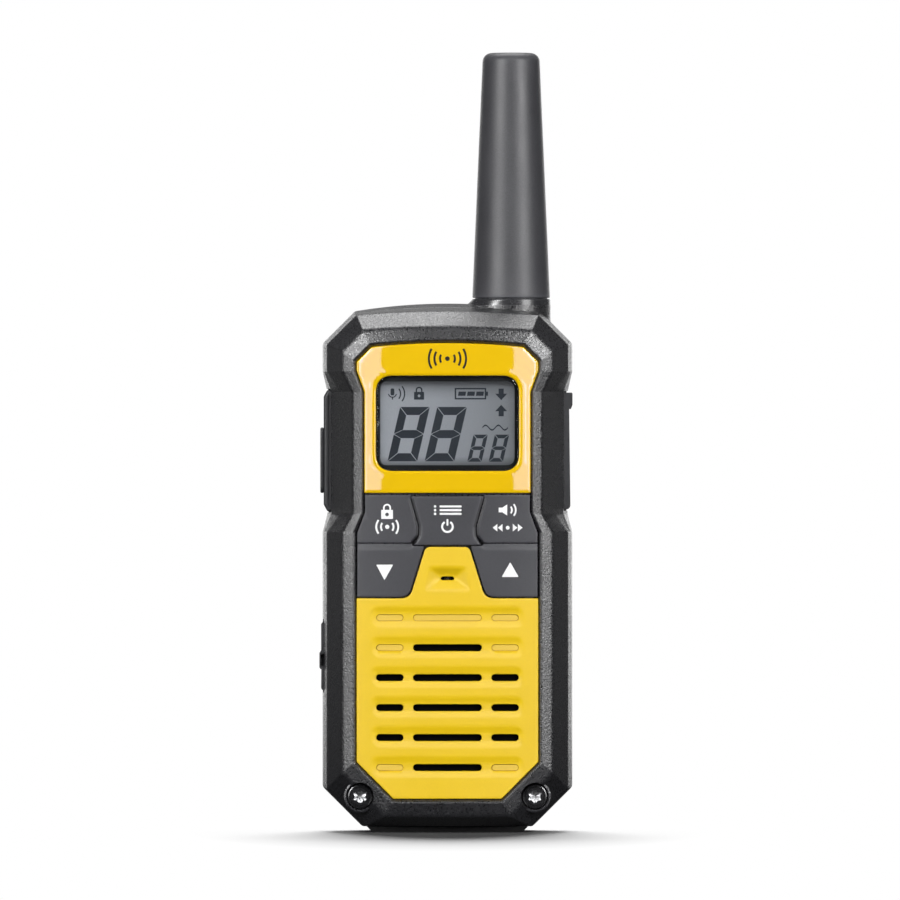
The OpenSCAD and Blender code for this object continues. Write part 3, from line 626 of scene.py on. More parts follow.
case_plastic = moulded("case_plastic", "#1d1d20", 0.33, grain=0.42, height=0.09, vary=0.08, edge_highlight=0.5, ior=1.9,
                       fleck=0.5, glint=0.45)
collar_gloss = moulded("collar_gloss", "#2b2b2e", 0.26, grain=0.5, height=0.004, vary=0.1, edge_highlight=0.3, ior=1.8)
antenna_plastic = moulded("antenna_plastic", "#404044", 0.45, grain=0.25, height=0.03, vary=0.06, edge_highlight=0.5,
                          ior=1.6)
yellow_gloss = moulded("yellow_gloss", "#f2c406", 0.035, grain=2.5, height=0.002, vary=0.012, fleck=0.008,
                       ior=1.65, coat=0.3)
yellow_matte = moulded("yellow_matte", "#f2ca08", 0.45, grain=0.2, height=0.01, vary=0.02, fleck=0.03)
# Paler yellow is painted light on the floors of the blind slots; darker orange is painted shade on their
# walls.
yellow_painted_light = moulded("yellow_painted_light", "#ecc640", 0.5, grain=0.2, height=0.01, vary=0.02, fleck=0.03)
yellow_painted_shade = moulded("yellow_painted_shade", "#c58f08", 0.6, grain=0.2, height=0.01, vary=0.02, fleck=0.03)
key_plastic = moulded("key_plastic", "#434348", 0.42, grain=0.18, height=0.014, vary=0.05, edge_highlight=0.12,
                      fleck=0.14)
# Darker key plastic, used as painted shade in the groove beside the menu key.
key_painted_shade = moulded("key_painted_shade", "#242428", 0.5, grain=0.18, height=0.014, vary=0.05, fleck=0.14)
black_rubber = moulded("black_rubber", "#242427", 0.55, grain=0.3, height=0.03, vary=0.1, edge_highlight=0.5, ior=1.6)
# Near-black rubber: black rubber darkened further as painted shade, on the foot and in the gaps round the
# keys and the microphone.
rubber_painted_shade = moulded("rubber_painted_shade", "#060607", 0.7, grain=0.3, height=0.02, vary=0.1, ior=1.3)
black_screw = moulded("black_screw", "#151517", 0.22, grain=0.35, height=0.008, vary=0.15, edge_highlight=0.6, ior=1.9)
zinc_steel = moulded("zinc_steel", "#b9bcc0", 0.28, grain=0.4, height=0.006, vary=0.08, metal=1.0,
                     stretch=(1, 1, 0.2), fleck=0.1)
bright_steel = moulded("bright_steel", "#d2d3d5", 0.42, grain=0.6, height=0.05, vary=0.1, metal=1.0)
brass = moulded("brass", "#c9a04a", 0.26, grain=0.4, height=0.006, vary=0.1, metal=1.0, stretch=(1, 1, 5),
                fleck=0.1)
white_plastic = moulded("white_plastic", "#d9d7d0", 0.4, grain=0.4, height=0.01, vary=0.03, fleck=0.05)
black_plastic = moulded("black_plastic", "#1a1a1c", 0.4, grain=0.3, height=0.012, vary=0.1, edge_highlight=0.3)
cone_paper = moulded("cone_paper", "#2e2b28", 0.8, grain=0.35, height=0.05, vary=0.15, fleck=0.4)
# Speaker cloth: black, darkened to near-black as painted shade seen through the grille's slots.
speaker_cloth_painted_shade = moulded("speaker_cloth_painted_shade", "#020203", 0.95, grain=0.3, height=0.05, vary=0.2, fleck=0.4,
                        ior=1.15)
icon_white = moulded("icon_white", "#fbfbfb", 0.5, grain=0.2, height=0.004, vary=0.01, fleck=0.02)
print_dark = moulded("print_dark", "#1d170e", 0.4, grain=0.2, height=0.004, vary=0.05, fleck=0.1)
lcd_ink = moulded("lcd_ink", "#20262f", 0.5, grain=0.3, height=0.002, vary=0.04, fleck=0.06)
mask_black = moulded("mask_black", "#050608", 0.35, grain=0.3, height=0.003, vary=0.1, fleck=0.1)
clear_window = window_shader()
lcd = lcd_shader()
board_green = board_shader()
cell_sleeve = cell_shader()


def settle(obj, body, material, replaced=(), sharp=38, spots=()):
    """Puts a finished piece on its body, in metres, with its material and shading.
    Spots are (material, test of a face's centre and normal) for faces that differ."""
    mesh = obj.data
    mesh.materials.clear()
    mesh.materials.append(material)
    for spot_material, _ in spots:
        mesh.materials.append(spot_material)
    for face in mesh.polygons:
        face.material_index = 0
        for i, (_, belongs) in enumerate(spots):
            if belongs(face.center, face.normal):
                face.material_index = i + 1
                break
    mesh.transform(Matrix.Scale(1 / MM, 4))
    mesh.shade_smooth()
    mesh.set_sharp_from_angle(angle=math.radians(sharp))
    normals = obj.modifiers.new("normals", "WEIGHTED_NORMAL")
    normals.mode = "FACE_AREA_WITH_ANGLE"
    normals.keep_sharp = True
    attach(obj, body)
    if replaced:
        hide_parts(*replaced)
    return obj


# ---------------------------------------------------------------- front case

def build_front_case():
    sections = [(0, 0, PARTING), (-7, 1, FRONT_EDGE), (0.8 - front_depth, 1, RIDGE_OUTER),
                (-front_depth, 1, RIDGE_CREST), (0.7 - front_depth, 1, PANEL_OPENING),
                (-9.9, 1, PANEL_OPENING), (-9.35, 1, FRONT_CAVITY), (-3.2, 0, FRONT_CAVITY),
                (-3.2, 0, RIM_CAVITY), (0, 0, RIM_CAVITY)]
    rows = soften(sections, [0.3, 0.7, 0.7, 0.35, 0.25, 0, 0, 0, 0, 0])
    case = loft("front_case_shell", [section_ring(row, 0.7) for row in rows], closed=True)
    posts = [disc(x, z, 2.3, 24) for x, z in KEY_POSTS]
    window = rectangle(1 - window_w / 2, window_w / 2 - 1, window_z - window_h / 2 + 1.2,
                       window_z + window_h / 2 - 1.2, 2)
    holes = posts + [window, disc(0, speaker_z, 18.6, 64), pill(0, MIC_Z, 3.6, 1.7)]
    floor = sheet("floor", closed_outline(inset(PANEL_OPENING, -0.4)), crown(FLOOR_FRONT_R),
                  crown(FLOOR_BACK_R), holes, spacing=3.0)
    add(case, floor)
    x, z = front_screw
    boss = [(0, 0), (3.9, 0), (3.9, 8.8), (3.75, 9.08), (3.5, 9.2), (0, 9.2)]
    add(case, *both(lambda side: turned("boss", boss, (side * x, 0, z), (0, -1, 0))))
    add(case, foot("foot", -5.6, 0.0))
    counterbore = [(0, 0), (3.12, 0), (3.12, 2.1), (3.25, 2.3), (3.25, 9), (0, 9)]
    cut(case, *both(lambda side: turned("counterbore", counterbore, (side * x, -6.9, z), (0, -1, 0))))
    cut(case, *both(lambda side: rod_y("hole", side * x, z, SCREW_HOLE_R, -8, 1)))
    settle(case, "case", case_plastic, ["front_case"], spots=[(rubber_painted_shade, on_foot)])


FOOT_HALF = 18.9
FOOT_TOP = 1.4


def on_foot(centre, normal):
    """Faces of the foot, which get near-black painted shade."""
    return centre.z < FOOT_TOP + 0.05 and abs(centre.x) < FOOT_HALF + 0.1 and normal.z < 0.5


def foot(name, y0, y1):
    right = [(FOOT_HALF - 1.3, 0), (FOOT_HALF, FOOT_TOP), (FOOT_HALF, FOOT_TOP + 1)]
    return prism_y(name, fillet(mirrored(right) + right, (1, 2, 3, 4), 0.5), y0, y1)


# ---------------------------------------------------------------- rear case and battery door

REAR_SECTIONS = [(rear_depth, 0, inset(REAR_FACE, 2.5)), (rear_depth, 0, REAR_FACE),
                 (rear_depth - 1.2, 0, REAR_EDGE), (rear_depth - 4.5, 0, REAR_SHOULDER), (5, 0, REAR_RIM),
                 (0, 0, PARTING), (0, 0, inset(PARTING, 0.8))]


def rear_solid(name):
    """The whole rear body, which the rear case and the battery door are cut from."""
    rows = soften(REAR_SECTIONS, [0, 0.7, 0.9, 0.9, 0.8, 0.3, 0])
    return loft(name, [section_ring(row, 1.6) for row in rows])


def hollow(name, d):
    """The room inside the rear body, with walls of that thickness."""
    sections = [(rear_depth - 1.7, 0, inset(REAR_FACE, d)), (rear_depth - 2.7, 0, inset(REAR_EDGE, d)),
                (rear_depth - 5.8, 0, inset(REAR_SHOULDER, d)), (5, 0, inset(REAR_RIM, d)),
                (-1, 0, inset(PARTING, d))]
    return loft(name, [section_ring(row, 1.0) for row in soften(sections, [0] * len(sections))])


def tray(name, half, bottom, corner, top, y0, y1):
    """Room or wall of the battery tray, with its lower corners cut off."""
    right = [(half - corner, bottom), (half, bottom + corner), (half, top)]
    return prism_y(name, mirrored(right) + right, y0, y1)


def collar(steps=96):
    """Antenna collar, flared into the case's top on its left side."""
    rings = []
    for z, flare in ((117, 0), (122.0, 4.2), (123.2, 2.6), (123.8, 1.5), (124.3, 0.7), (124.8, 0.2),
                     (125.05, 0), (COLLAR_TOP, -0.2)):
        ring = []
        for i in range(steps):
            a = 2 * math.pi * i / steps
            lean = max(0.0, -math.cos(a)) ** 3 if flare > 0 else 1.0
            r = COLLAR_R + flare * lean
            ring.append((antenna_x + r * math.cos(a), antenna_y + r * math.sin(a), z))
        rings.append(ring)
    return loft("collar", rings)


def build_rear_case():
    case = rear_solid("rear_case_shell")
    for back, low, high in ((FAR, door_top + 1.9, 2 * FAR), (4.9, -1, door_top + 2)):
        room = combine(hollow("hollow", WALL), block("part", -FAR, FAR, -FAR, back, low, high), "INTERSECT")
        combine(case, room, "DIFFERENCE")
    cut(case, block("door_room", -FAR, FAR, 6.5, FAR, -1, door_top + 0.15))
    add(case, tray("tray", 23.6, 3.7, 5, door_top - 0.3, 6.4, 13.2))
    add(case, collar())
    front_x, front_z = front_screw
    rear_x, rear_z = rear_screw
    add(case, *both(lambda side: rod_y("boss", side * front_x, front_z, 3, 0.05, 5)),
        *both(lambda side: rod_y("boss", side * rear_x, rear_z, 4, 0.05, rear_depth - 1.3)),
        rod_y("boss", 0, clip_screw_z, 3.2, 12, rear_depth - 1.4))
    flap_low, flap_high = span("jack_cover")
    usb_low, usb_high = span("usb_cover")
    ptt_top = span("ptt_button")[1].z
    add(case, block("pad", 24.9, JACK_POCKET_X, 0.3, 10.0, flap_low.z - 1.2, flap_high.z + 1.2),
        block("pad", -USB_POCKET_X, -26.2, 0.3, 5.0, usb_low.z - 1.2, usb_high.z + 1.2))
    add(case, foot("foot", 0.02, 6.4))
    cut(case, tray("bay", 22.2, 5.1, 3.2, door_top - 2.05, 6.1, 14.2))
    cut(case, rod("bore", (antenna_x, antenna_y, 110), (0, 0, 1), 3.6, 20))
    stepped = [(0, 0), (SCREW_HOLE_R, 0), (SCREW_HOLE_R, 17), (3.15, 17), (3.15, 40), (0, 40)]
    cut(case, *both(lambda side: rod_y("hole", side * front_x, front_z, SCREW_HOLE_R, -1, 4.2)),
        *both(lambda side: turned("hole", stepped, (side * rear_x, -1, rear_z), (0, 1, 0))),
        rod_y("hole", 0, clip_screw_z, 1.35, 12.5, 30))
    cut(case, block("ptt_room", -FAR, -20, 0.8, 9.6, 75.0, ptt_top - 0.6),
        block("flap_room", JACK_POCKET_X, FAR, flap_low.y - 0.2, flap_high.y + 0.2, flap_low.z - 0.3,
              flap_high.z + 0.4),
        block("usb_room", -FAR, -USB_POCKET_X, usb_low.y - 0.2, usb_high.y + 0.2, usb_low.z - 0.4,
              usb_high.z + 0.4))
    cut(case, *[rod_x("jack", JACK_Y, z, 3.2, 24, 28) for z in jack_z],
        block("usb", -29, -25, 1.5, 4.5, 37.3, 45.3))

    def on_collar(centre, normal):
        return centre.z > 123.9 and math.hypot(centre.x - antenna_x, centre.y - antenna_y) < COLLAR_R + 1.2

    settle(case, "case", case_plastic, ["rear_case"],
           spots=[(collar_gloss, on_collar), (rubber_painted_shade, on_foot)])


def build_battery_door():
    door = rear_solid("battery_door_shell")
    combine(door, block("part", -FAR, FAR, 6.6, FAR, -1, door_top - 0.05), "INTERSECT")
    combine(door, hollow("inner", WALL - 0.1), "DIFFERENCE")
    add(door, combine(foot("foot", 6.6, 15.5), hollow("inner", WALL), "DIFFERENCE"))
    ribs = []
    for i in range(5):
        z = door_top - 5.2 - 2.2 * i
        half = 9 - 0.6 * i
        bow = [(half * t, z - 1.1 * (1 - t * t)) for t in np.linspace(-1, 1, 17)]
        under = [(x, zz - 0.8) for x, zz in bow[::-1]]
        rib = prism_y("rib", bow + under, rear_depth - 0.5, rear_depth + 0.4)
        ribs.append(round_edges(rib, 0.25, 2, 50))
    add(door, *ribs)
    settle(door, "door", case_plastic, ["battery_door"], spots=[(rubber_painted_shade, on_foot)])


# ---------------------------------------------------------------- front panels

MIC_Z = 59.5
SURROUND_BOTTOM = 79.6
SYMBOL_Z = 111.1
GRILLE_TOP = 54.95
SLOT_PITCH = 7.02
LOWEST_ROW = 15.3
SLOT_H = 1.6
SIDE_SLOT_X = 13.5
OPEN_CENTRE = (True, True, True, True, True, False)
OPEN_SIDE = (False, True, True, True, False, False)
TROUGH = 0.42
TAB_TOP = 67.0
TAB_HALF = 5.1
TAB_SLOPE = 0.31
# Bottom, top, half width below and above of the funnel around the microphone hole.
FUNNEL = (56.9, 62.2, 5.4, 4.3)


def tab_edge(z):
    """Half width of the microphone tab at a height."""
    return TAB_HALF + TAB_SLOPE * (TAB_TOP - z)


def ease(value, start, end):
    """0 at start, 1 at end, smooth in between."""
    t = np.clip((value - start) / (end - start), 0, 1)
    return t * t * (3 - 2 * t)


def panel_border(keep_above=None, keep_below=None):
    """Right half of a panel in the front opening, above or below a level."""
    half = half_outline(inset(PANEL_OPENING, 0.14), 0.7)
    if keep_above is not None:
        return [(x, z) for x, z in half if z > keep_above]
    return [(x, z) for x, z in half if z < keep_below]


def both_halves(right):
    """A closed loop from its right half, which runs upwards and may start or end on the middle."""
    return right + mirrored([point for point in right if point[0] > 1e-6])


def window_outline(gap, corner):
    """Outline of the display window, smaller all round by the gap."""
    half_w, half_h = window_w / 2 - gap, window_h / 2 - gap
    return rectangle(-half_w, half_w, window_z - half_h, window_z + half_h, corner, 10)


def build_surround():
    upper = panel_border(keep_above=SURROUND_BOTTOM + 1)
    half = upper[0][0]
    corner = fillet([(half - 1, SURROUND_BOTTOM), (half, SURROUND_BOTTOM), upper[0]], (1,), 0.3)
    border = both_halves(corner[:-1] + upper)
    window = window_outline(0, WINDOW_CORNER)

    def front(x, z):
        away = edge_distance(np.stack([x, z], 1), [window])
        lip = 0.06 * ease(away, 1.4, 1.05) - 0.14 * ease(away, 1.0, 0.0)
        return crown(CROWN_R)(x, z) - lip

    panel = sheet("display_surround_panel", border, front, crown(PANEL_BACK_R), [window], spacing=0.7,
                  soft=0.35)
    waves = [disc(0, SYMBOL_Z, 0.55)]
    for start in (-32, 148):
        waves += [band(0, SYMBOL_Z, r, r + 0.5, start, start + 64) for r in (1.5, 2.8, 4.1)]
    printed("surround_symbol", "case", print_dark, waves, crown(CROWN_R + 0.03), crown(CROWN_R - 0.1))
    return settle(panel, "case", yellow_gloss, ["display_surround"], sharp=50)


def funnel_depth(x, z):
    """Depth of the funnel around the microphone hole, flat where the hole is."""
    bottom, top, half_low, half_high = FUNNEL
    half = half_low + (half_high - half_low) * (z - bottom) / (top - bottom)
    share = np.minimum.reduce([(z - bottom) / 2.6, (top - z) / 1.7, (half - np.abs(x)) / 2.7,
                               np.ones_like(x)])
    return 1.2 * np.clip(share, 0, 1)


def build_grille():
    lower = panel_border(keep_below=GRILLE_TOP - 1)
    half = lower[-1][0]
    tab = [(half, GRILLE_TOP - 2), (half, GRILLE_TOP), (tab_edge(GRILLE_TOP), GRILLE_TOP),
           (tab_edge(TAB_TOP), TAB_TOP), (0, TAB_TOP)]
    border = both_halves(lower + fillet(tab, (1, 2, 3), {1: 0.3, 2: 2.8, 3: 1.6}, 8))
    holes, pockets, inner, troughs = [], [], [], []
    for row, row_open in enumerate(zip(OPEN_CENTRE, OPEN_SIDE)):
        z = LOWEST_ROW + row * SLOT_PITCH
        troughs.append(rectangle(-17.9, 17.9, z - 2.2, z + 2.6, 2.0))
        for x, width in ((0, 16.1), (-SIDE_SLOT_X, 6.4), (SIDE_SLOT_X, 6.4)):
            slot = pill(x, z, width, SLOT_H)
            if row_open[bool(x)]:
                holes.append(slot)
            else:
                pockets.append(slot)
                inner.append(pill(x, z, width - 0.3, SLOT_H - 0.3))
    holes.append([(x, z if z > MIC_Z else 0.5 * (z + MIC_Z)) for x, z in pill(0, MIC_Z, 3.1, 1.1)])
    bottom, top, half_low, half_high = FUNNEL
    rim = [[(-half_low, bottom), (half_low, bottom), (half_high, top), (-half_high, top)]]

    def front(x, z):
        points = np.stack([x, z], 1)
        depth = np.zeros_like(x)
        for trough in troughs:
            within_trough = np.where(inside(points, trough), edge_distance(points, [trough]), 0)
            depth += TROUGH * ease(within_trough, 0, 1.4)
        for pocket in inner:
            deep = inside(points, pocket) | (edge_distance(points, [pocket]) < 0.01)
            depth += np.where(deep, 0.32, 0.0)
        return crown(CROWN_R)(x, z) + depth + funnel_depth(x, z)

    panel = sheet("speaker_grille_panel", border, front, crown(PANEL_BACK_R), holes, pockets + inner + rim,
                  spacing=0.62, soft=0.22)

    def within(loops):
        return lambda c, n: n.y < -0.1 and any(inside(np.array([[c.x, c.z]]), loop)[0] for loop in loops)

    # Blind slots get painted light on their floors and painted shade on their walls.
    return settle(panel, "case", yellow_matte, ["grille_panel"], sharp=50,
                  spots=[(yellow_painted_light, within(inner)), (yellow_painted_shade, within(pockets))])


def build_window():
    border = window_outline(0.1, WINDOW_CORNER - 0.1)
    lens = sheet("display_window", border, crown(CROWN_R - 0.5), crown(FLOOR_FRONT_R + 0.15), spacing=2.0,
                 soft=0.3)
    settle(lens, "case", clear_window, ["display_lens"], sharp=60,
           spots=[(mask_black, lambda centre, normal: abs(normal.y) < 0.5)])
    view = rectangle(-16.2, 15.75, 86.15, 105.75, 2.0, 10)
    mask = sheet("window_mask", [(x * 0.999, z) for x, z in border], crown(FLOOR_FRONT_R + 0.12),
                 crown(FLOOR_FRONT_R + 0.02), [view], spacing=2.0)
    settle(mask, "case", mask_black, sharp=60)


# ---------------------------------------------------------------- display content

def digit(x, z, width, height, thick, slant):
    """Seven segments of a digit, leaning to the right."""
    g, mid, t = 0.11, height / 2, thick / 2
    top = [(g, height), (width - g, height), (width - thick - g, height - thick), (thick + g, height - thick)]
    bottom = [(a, height - b) for a, b in top]
    across = [(g, mid), (thick, mid + t), (width - thick, mid + t), (width - g, mid),
              (width - thick, mid - t), (thick, mid - t)]
    upper = [(0, height - g), (thick, height - thick - g), (thick, mid + t + g), (0, mid + g)]
    lower = [(a, height - b) for a, b in upper]
    right = [[(width - a, b) for a, b in p] for p in (upper, lower)]
    return [moved(p, x, z, slant) for p in (top, bottom, across, upper, lower, *right)]


def wave_path(x0, x1, z, rise, thick, turns):
    steps = np.linspace(0, 1, 33)
    upper = [(x0 + (x1 - x0) * t, z + rise * math.sin(2 * math.pi * turns * t) + thick / 2) for t in steps]
    return upper + [(x, zz - thick) for x, zz in upper[::-1]]


def arrow(x, z, way):
    """Thick arrow from z on, up for way 1 and down for way -1."""
    return [(x + dx, z + way * dz) for dx, dz in ((-0.6, 0), (0.6, 0), (0.6, 1.2), (1.4, 1.2), (0, 2.7),
                                                  (-1.4, 1.2), (-0.6, 1.2))]


def padlock(x, z, size):
    """Body, shackle and legs of a padlock standing on z."""
    body = rectangle(x - 0.5 * size, x + 0.5 * size, z, z + 0.78 * size, 0.06 * size)
    arch = band(x, z + 0.95 * size, 0.2 * size, 0.34 * size, 0, 180)
    legs = [rectangle(x + side * 0.27 * size - 0.07 * size, x + side * 0.27 * size + 0.07 * size,
                      z + 0.76 * size, z + 0.96 * size) for side in (-1, 1)]
    return body, [arch, *legs]


def printed(name, body, material, shapes, front, back, holes=None):
    """One thin piece made of several printed shapes; holes maps a shape's number to its holes."""
    parts = []
    for i, shape in enumerate(shapes):
        parts.append(sheet(name, shape, front, back, (holes or {}).get(i, ()), spacing=1.6))
    made = merge(parts)
    made.name = name
    return settle(made, body, material, sharp=60)


def build_display_content():
    large, small = (87.05, 6.95, 12.75, 1.9), (86.95, 3.35, 6.35, 0.86)
    marks = []
    for x, size in ((-14.05, large), (-5.35, large), (4.65, small), (9.65, small)):
        marks += digit(x, *size, 0.233)
    battery = rectangle(1.7, 9.1, 101.55, 104.25, 0.1)
    marks.append(rectangle(9.1, 9.5, 102.4, 103.4))
    marks += [moved(rectangle(2.55 + 2.1 * i, 4.3 + 2.1 * i, -0.5, 0.5), 0, 102.9, 0.15) for i in range(3)]
    lock_body, lock_top = padlock(-6.65, 101.5, 2.35)
    marks += lock_top + [
        rectangle(-13.35, -12.45, 102.5, 104.15, 0.44),
        band(-12.9, 103.0, 0.8, 1.05, 190, 350), rectangle(-13.03, -12.77, 101.5, 102.1),
        band(-12.9, 102.9, 1.75, 2.05, -38, 38), band(-12.9, 102.9, 2.7, 3.0, -38, 38),
        arrow(12.6, 104.1, -1), arrow(12.6, 97.6, 1),
        wave_path(8.2, 14.2, 94.95, 0.55, 0.36, 2)]
    holes = {len(marks): [rectangle(2.05, 8.75, 101.9, 103.9)],
             len(marks) + 1: [disc(-6.65, 102.4, 0.32, 16)]}
    marks += [battery, lock_body]
    glass = span("lcd_glass")[0].y
    printed("display_marks", "case", lcd_ink, marks, flat(glass - 0.05), flat(glass - 0.005), holes)


# ---------------------------------------------------------------- keys

KEY_POSTS = [(-14.2, 73.5), (0, 73.5), (14.2, 73.5), (-14.2, 61.2), (14.2, 61.2)]


def upper_side_key():
    half = PANEL_OPENING[0] - 0.3
    waist = PANEL_OPENING[1] - 0.3
    path = [(8.55, 79.2), (waist, 79.2), (waist, WAIST_Z[1] + 0.4), (half, WAIST_Z[0] - 0.1), (half, 67.9),
            (8.4, 67.9), (6.9, 69.7), (6.8, 71.75), (8.62, 78.2), (8.55, 78.5)]
    return fillet(path, range(10), dict(enumerate((0.1, 0.3, 0.6, 0.6, 0.3, 1.5, 0.8, 0.8, 0.25, 0.1))))


def menu_key():
    path = [(7.9, 67.4), (6.72, 69.6), (6.64, 71.8), (8.46, 78.2), (8.45, 78.5), (8.45, 79.2)]
    right = fillet(path, range(1, 6), {1: 1.2, 2: 1.2, 3: 0.25, 4: 0.1, 5: 0.1})
    return right + mirrored(right)


def lower_side_key():
    half = PANEL_OPENING[0] - 0.3
    inner_top, top, bottom = 67.24, 67.78, 55.25
    path = [(tab_edge(inner_top) + 0.4, inner_top), (8.1, inner_top), (8.5, top), (half, top), (half, bottom),
            (tab_edge(bottom) + 0.38, bottom)]
    return fillet(path, range(6), {0: 0.4, 1: 0.2, 2: 0.2, 3: 0.3, 4: 0.3, 5: 2.6}, 6)


def ribbon(path, half_width):
    """Closed outline of a band of even width along a path."""
    line = np.array(path)
    along = np.gradient(line, axis=0)
    across = np.stack([along[:, 1], -along[:, 0]], 1) / np.linalg.norm(along, axis=1)[:, None] * half_width
    return [tuple(p) for p in np.concatenate([line + across, (line - across)[::-1]])]


# Line between the menu key and the upper side keys, and the step along the top of the lower keys.
KEY_ROWS_MEET = 67.9
GROOVE = fillet([(8.52, 78.25), (6.72, 71.8), (6.8, 69.65), (8.05, 67.95)], (1, 2), 1.2)
STEP = (66.72, 66.92)


def key_front(x, z):
    """The crown, with a soft groove beside the menu key and a step along the top of the lower keys."""
    points = np.stack([np.abs(x), z], 1)
    groove = ease(edge_distance(points, [GROOVE + GROOVE[::-1]]), 0.75, 0.25) * (z > KEY_ROWS_MEET)
    step = ease(z, *STEP) * (z < KEY_ROWS_MEET - 0.05) * ease(np.abs(x), 7.9, 8.3)
    return crown(CROWN_R + 0.02)(x, z) + 0.2 * groove + 0.12 * step


def key(name, outline, post):
    """Key cap on the crown, with the stem and collar behind it."""
    side = 1 if post[0] > 0 else -1
    upper = post[1] > KEY_ROWS_MEET
    if not upper:
        lines = [rectangle(*sorted((side * 8.1, side * 20.9)), *STEP)]
    else:
        groove = ribbon(GROOVE, 0.6)
        lines = [loop for loop in (groove, mirrored(groove)) if inside(np.array(loop), outline).any()]
    cap = sheet(name + "_cap", outline, key_front, crown(CROWN_R - 1.0), lines=lines, spacing=0.5, soft=0.2)
    x, z = post
    mid, step = (float(crown(CROWN_R - d)(x, z)) for d in (0.5, 3.15))
    end = span(name)[1].y
    stem = [(0, mid), (2, mid), (2, step), (3, step), (3, step + 0.8), (2, step + 0.8), (2, end - 0.2),
            (1.8, end), (0, end)]
    add(cap, turned("stem", stem, (x, 0, z), (0, 1, 0), 32))

    def in_groove(centre, normal):
        spot = np.array([[centre.x, centre.z]])
        return upper and normal.y < -0.3 and any(inside(spot, loop)[0] for loop in lines)

    # Faces in the groove beside the menu key get painted shade.
    settle(cap, name, key_plastic, [name], sharp=50, spots=[(key_painted_shade, in_groove)])


def key_marks():
    """Generic symbols of the five keys: list of (body, shapes, holes)."""
    lock_body, lock_top = padlock(-14.15, 73.55, 2.75)
    call = [disc(-14.1, 71.7, 0.5)]
    for start in (-38, 142):
        call += [band(-14.1, 71.7, r, r + 0.45, start, start + 76) for r in (1.25, 2.35)]
    listing = [pill(0.75, 74.75 + 0.87 * i, 5.2, 0.48) for i in range(3)]
    listing += [disc(-2.9, 74.75 + 0.87 * i, 0.3) for i in range(3)]
    power = [band(0, 71.75, 1.0, 1.48, 122, 418, 40), pill(0, 72.75, 0.44, 1.6)]
    loud = [[(12.0, 75.1), (12.85, 75.1), (14.0, 74.35), (14.0, 76.95), (12.85, 76.2), (12.0, 76.2)]]
    loud += [band(13.9, 75.65, r, r + 0.4, -40, 40) for r in (1.0, 1.9)]
    seek = [[(14.1 + s * 1.2, 72.4), (14.1 + s * 2.3, 71.5), (14.1 + s * 1.2, 70.6)] for s in (-1, 1)]
    seek += [[(14.1 + s * 2.4, 72.4), (14.1 + s * 3.5, 71.5), (14.1 + s * 2.4, 70.6)] for s in (-1, 1)]
    seek.append(disc(14.1, 71.5, 0.45))
    return [("call_key", [lock_body, *lock_top, *call], {0: [disc(-14.15, 74.6, 0.42, 20)]}),
            ("menu_key", listing + power, {}), ("scan_key", loud + seek, {}),
            ("down_key", [fillet([(-16.7, 62.85), (-14.75, 59.2), (-12.7, 62.85)], range(3), 0.15, 2)], {}),
            ("up_key", [fillet([(12.7, 59.95), (16.7, 59.95), (14.7, 63.45)], range(3), 0.15, 2)], {})]


def build_keys():
    side, lower = upper_side_key(), lower_side_key()
    shapes = {"call_key": mirrored(side), "menu_key": menu_key(), "scan_key": side,
              "down_key": mirrored(lower), "up_key": lower}
    for (name, outline), post in zip(shapes.items(), KEY_POSTS):
        key(name, outline, post)
    for name, marks, holes in key_marks():
        printed(name + "_symbols", name, icon_white, marks, crown(CROWN_R + 0.05), crown(CROWN_R - 0.1),
                holes)


# ---------------------------------------------------------------- screws

def six_lobes(radius, depth, steps=60):
    ring = [(x * (1 + 0.13 * math.cos(6 * a)), z * (1 + 0.13 * math.cos(6 * a)))
            for (x, z), a in zip(disc(0, 0, radius, steps), np.linspace(0, 2 * math.pi, steps, False))]
    return loft("socket", [[(x * scale, height, z * scale) for x, z in ring] for height, scale in
                           ((1.0, 1.12), (0.0, 1.0), (-depth, 0.94), (-depth - 0.38, 0.2))])


def screw(name, place, axis, head_r, head_h, shank_r, shank_l):
    """Button head screw with a six-lobe socket; the place is the middle of the head's top."""
    profile = [(0, 0), (head_r * 0.7, 0), (head_r * 0.74, -0.1), (head_r * 0.8, -0.1), (head_r * 0.84, 0),
               (head_r - 0.25, -0.03), (head_r - 0.07, -0.14), (head_r, -0.35), (head_r, -head_h),
               (shank_r, -head_h), (shank_r, -head_h - shank_l + 0.5), (shank_r - 0.4, -head_h - shank_l),
               (0, -head_h - shank_l)]
    body = turned(name, profile, (0, 0, 0), (0, 1, 0), 56)
    cut(body, six_lobes(head_r * 0.5, 0.9))
    turn = Vector((0, 1, 0)).rotation_difference(Vector(axis)).to_matrix().to_4x4()
    body.data.transform(Matrix.Translation(Vector(place)) @ turn)
    return body


def socket_bottom(y):
    """Test for the faces at the bottom of a screw's socket."""
    return lambda c, n: y - 0.05 < c.y < y + 0.45 and abs(n.y) > 0.7


def build_screws():
    head_y, back_y = span("front_screws")[0].y, span("rear_screws")[1].y
    for name, (x, z), y, way, length, spots in (
            ("front", front_screw, head_y, -1, 10, [(bright_steel, socket_bottom(head_y + 0.9))]),
            ("rear", rear_screw, back_y, 1, 18, ())):
        pair = both(lambda side: screw(name + "_case_screws", (side * x, y, z), (0, way, 0), screw_head_r, 2,
                                       1.4, length))
        settle(merge(pair), "case", black_screw, [name + "_screws"], spots=spots)
    place = (middle("clip_screw").x, span("clip_screw")[1].y, clip_screw_z)
    settle(screw("clip_bracket_screw", place, (0, 1, 0), 2.4, 1.2, 1.3, 8), "case", black_screw,
           ["clip_screw"])


# ---------------------------------------------------------------- antenna

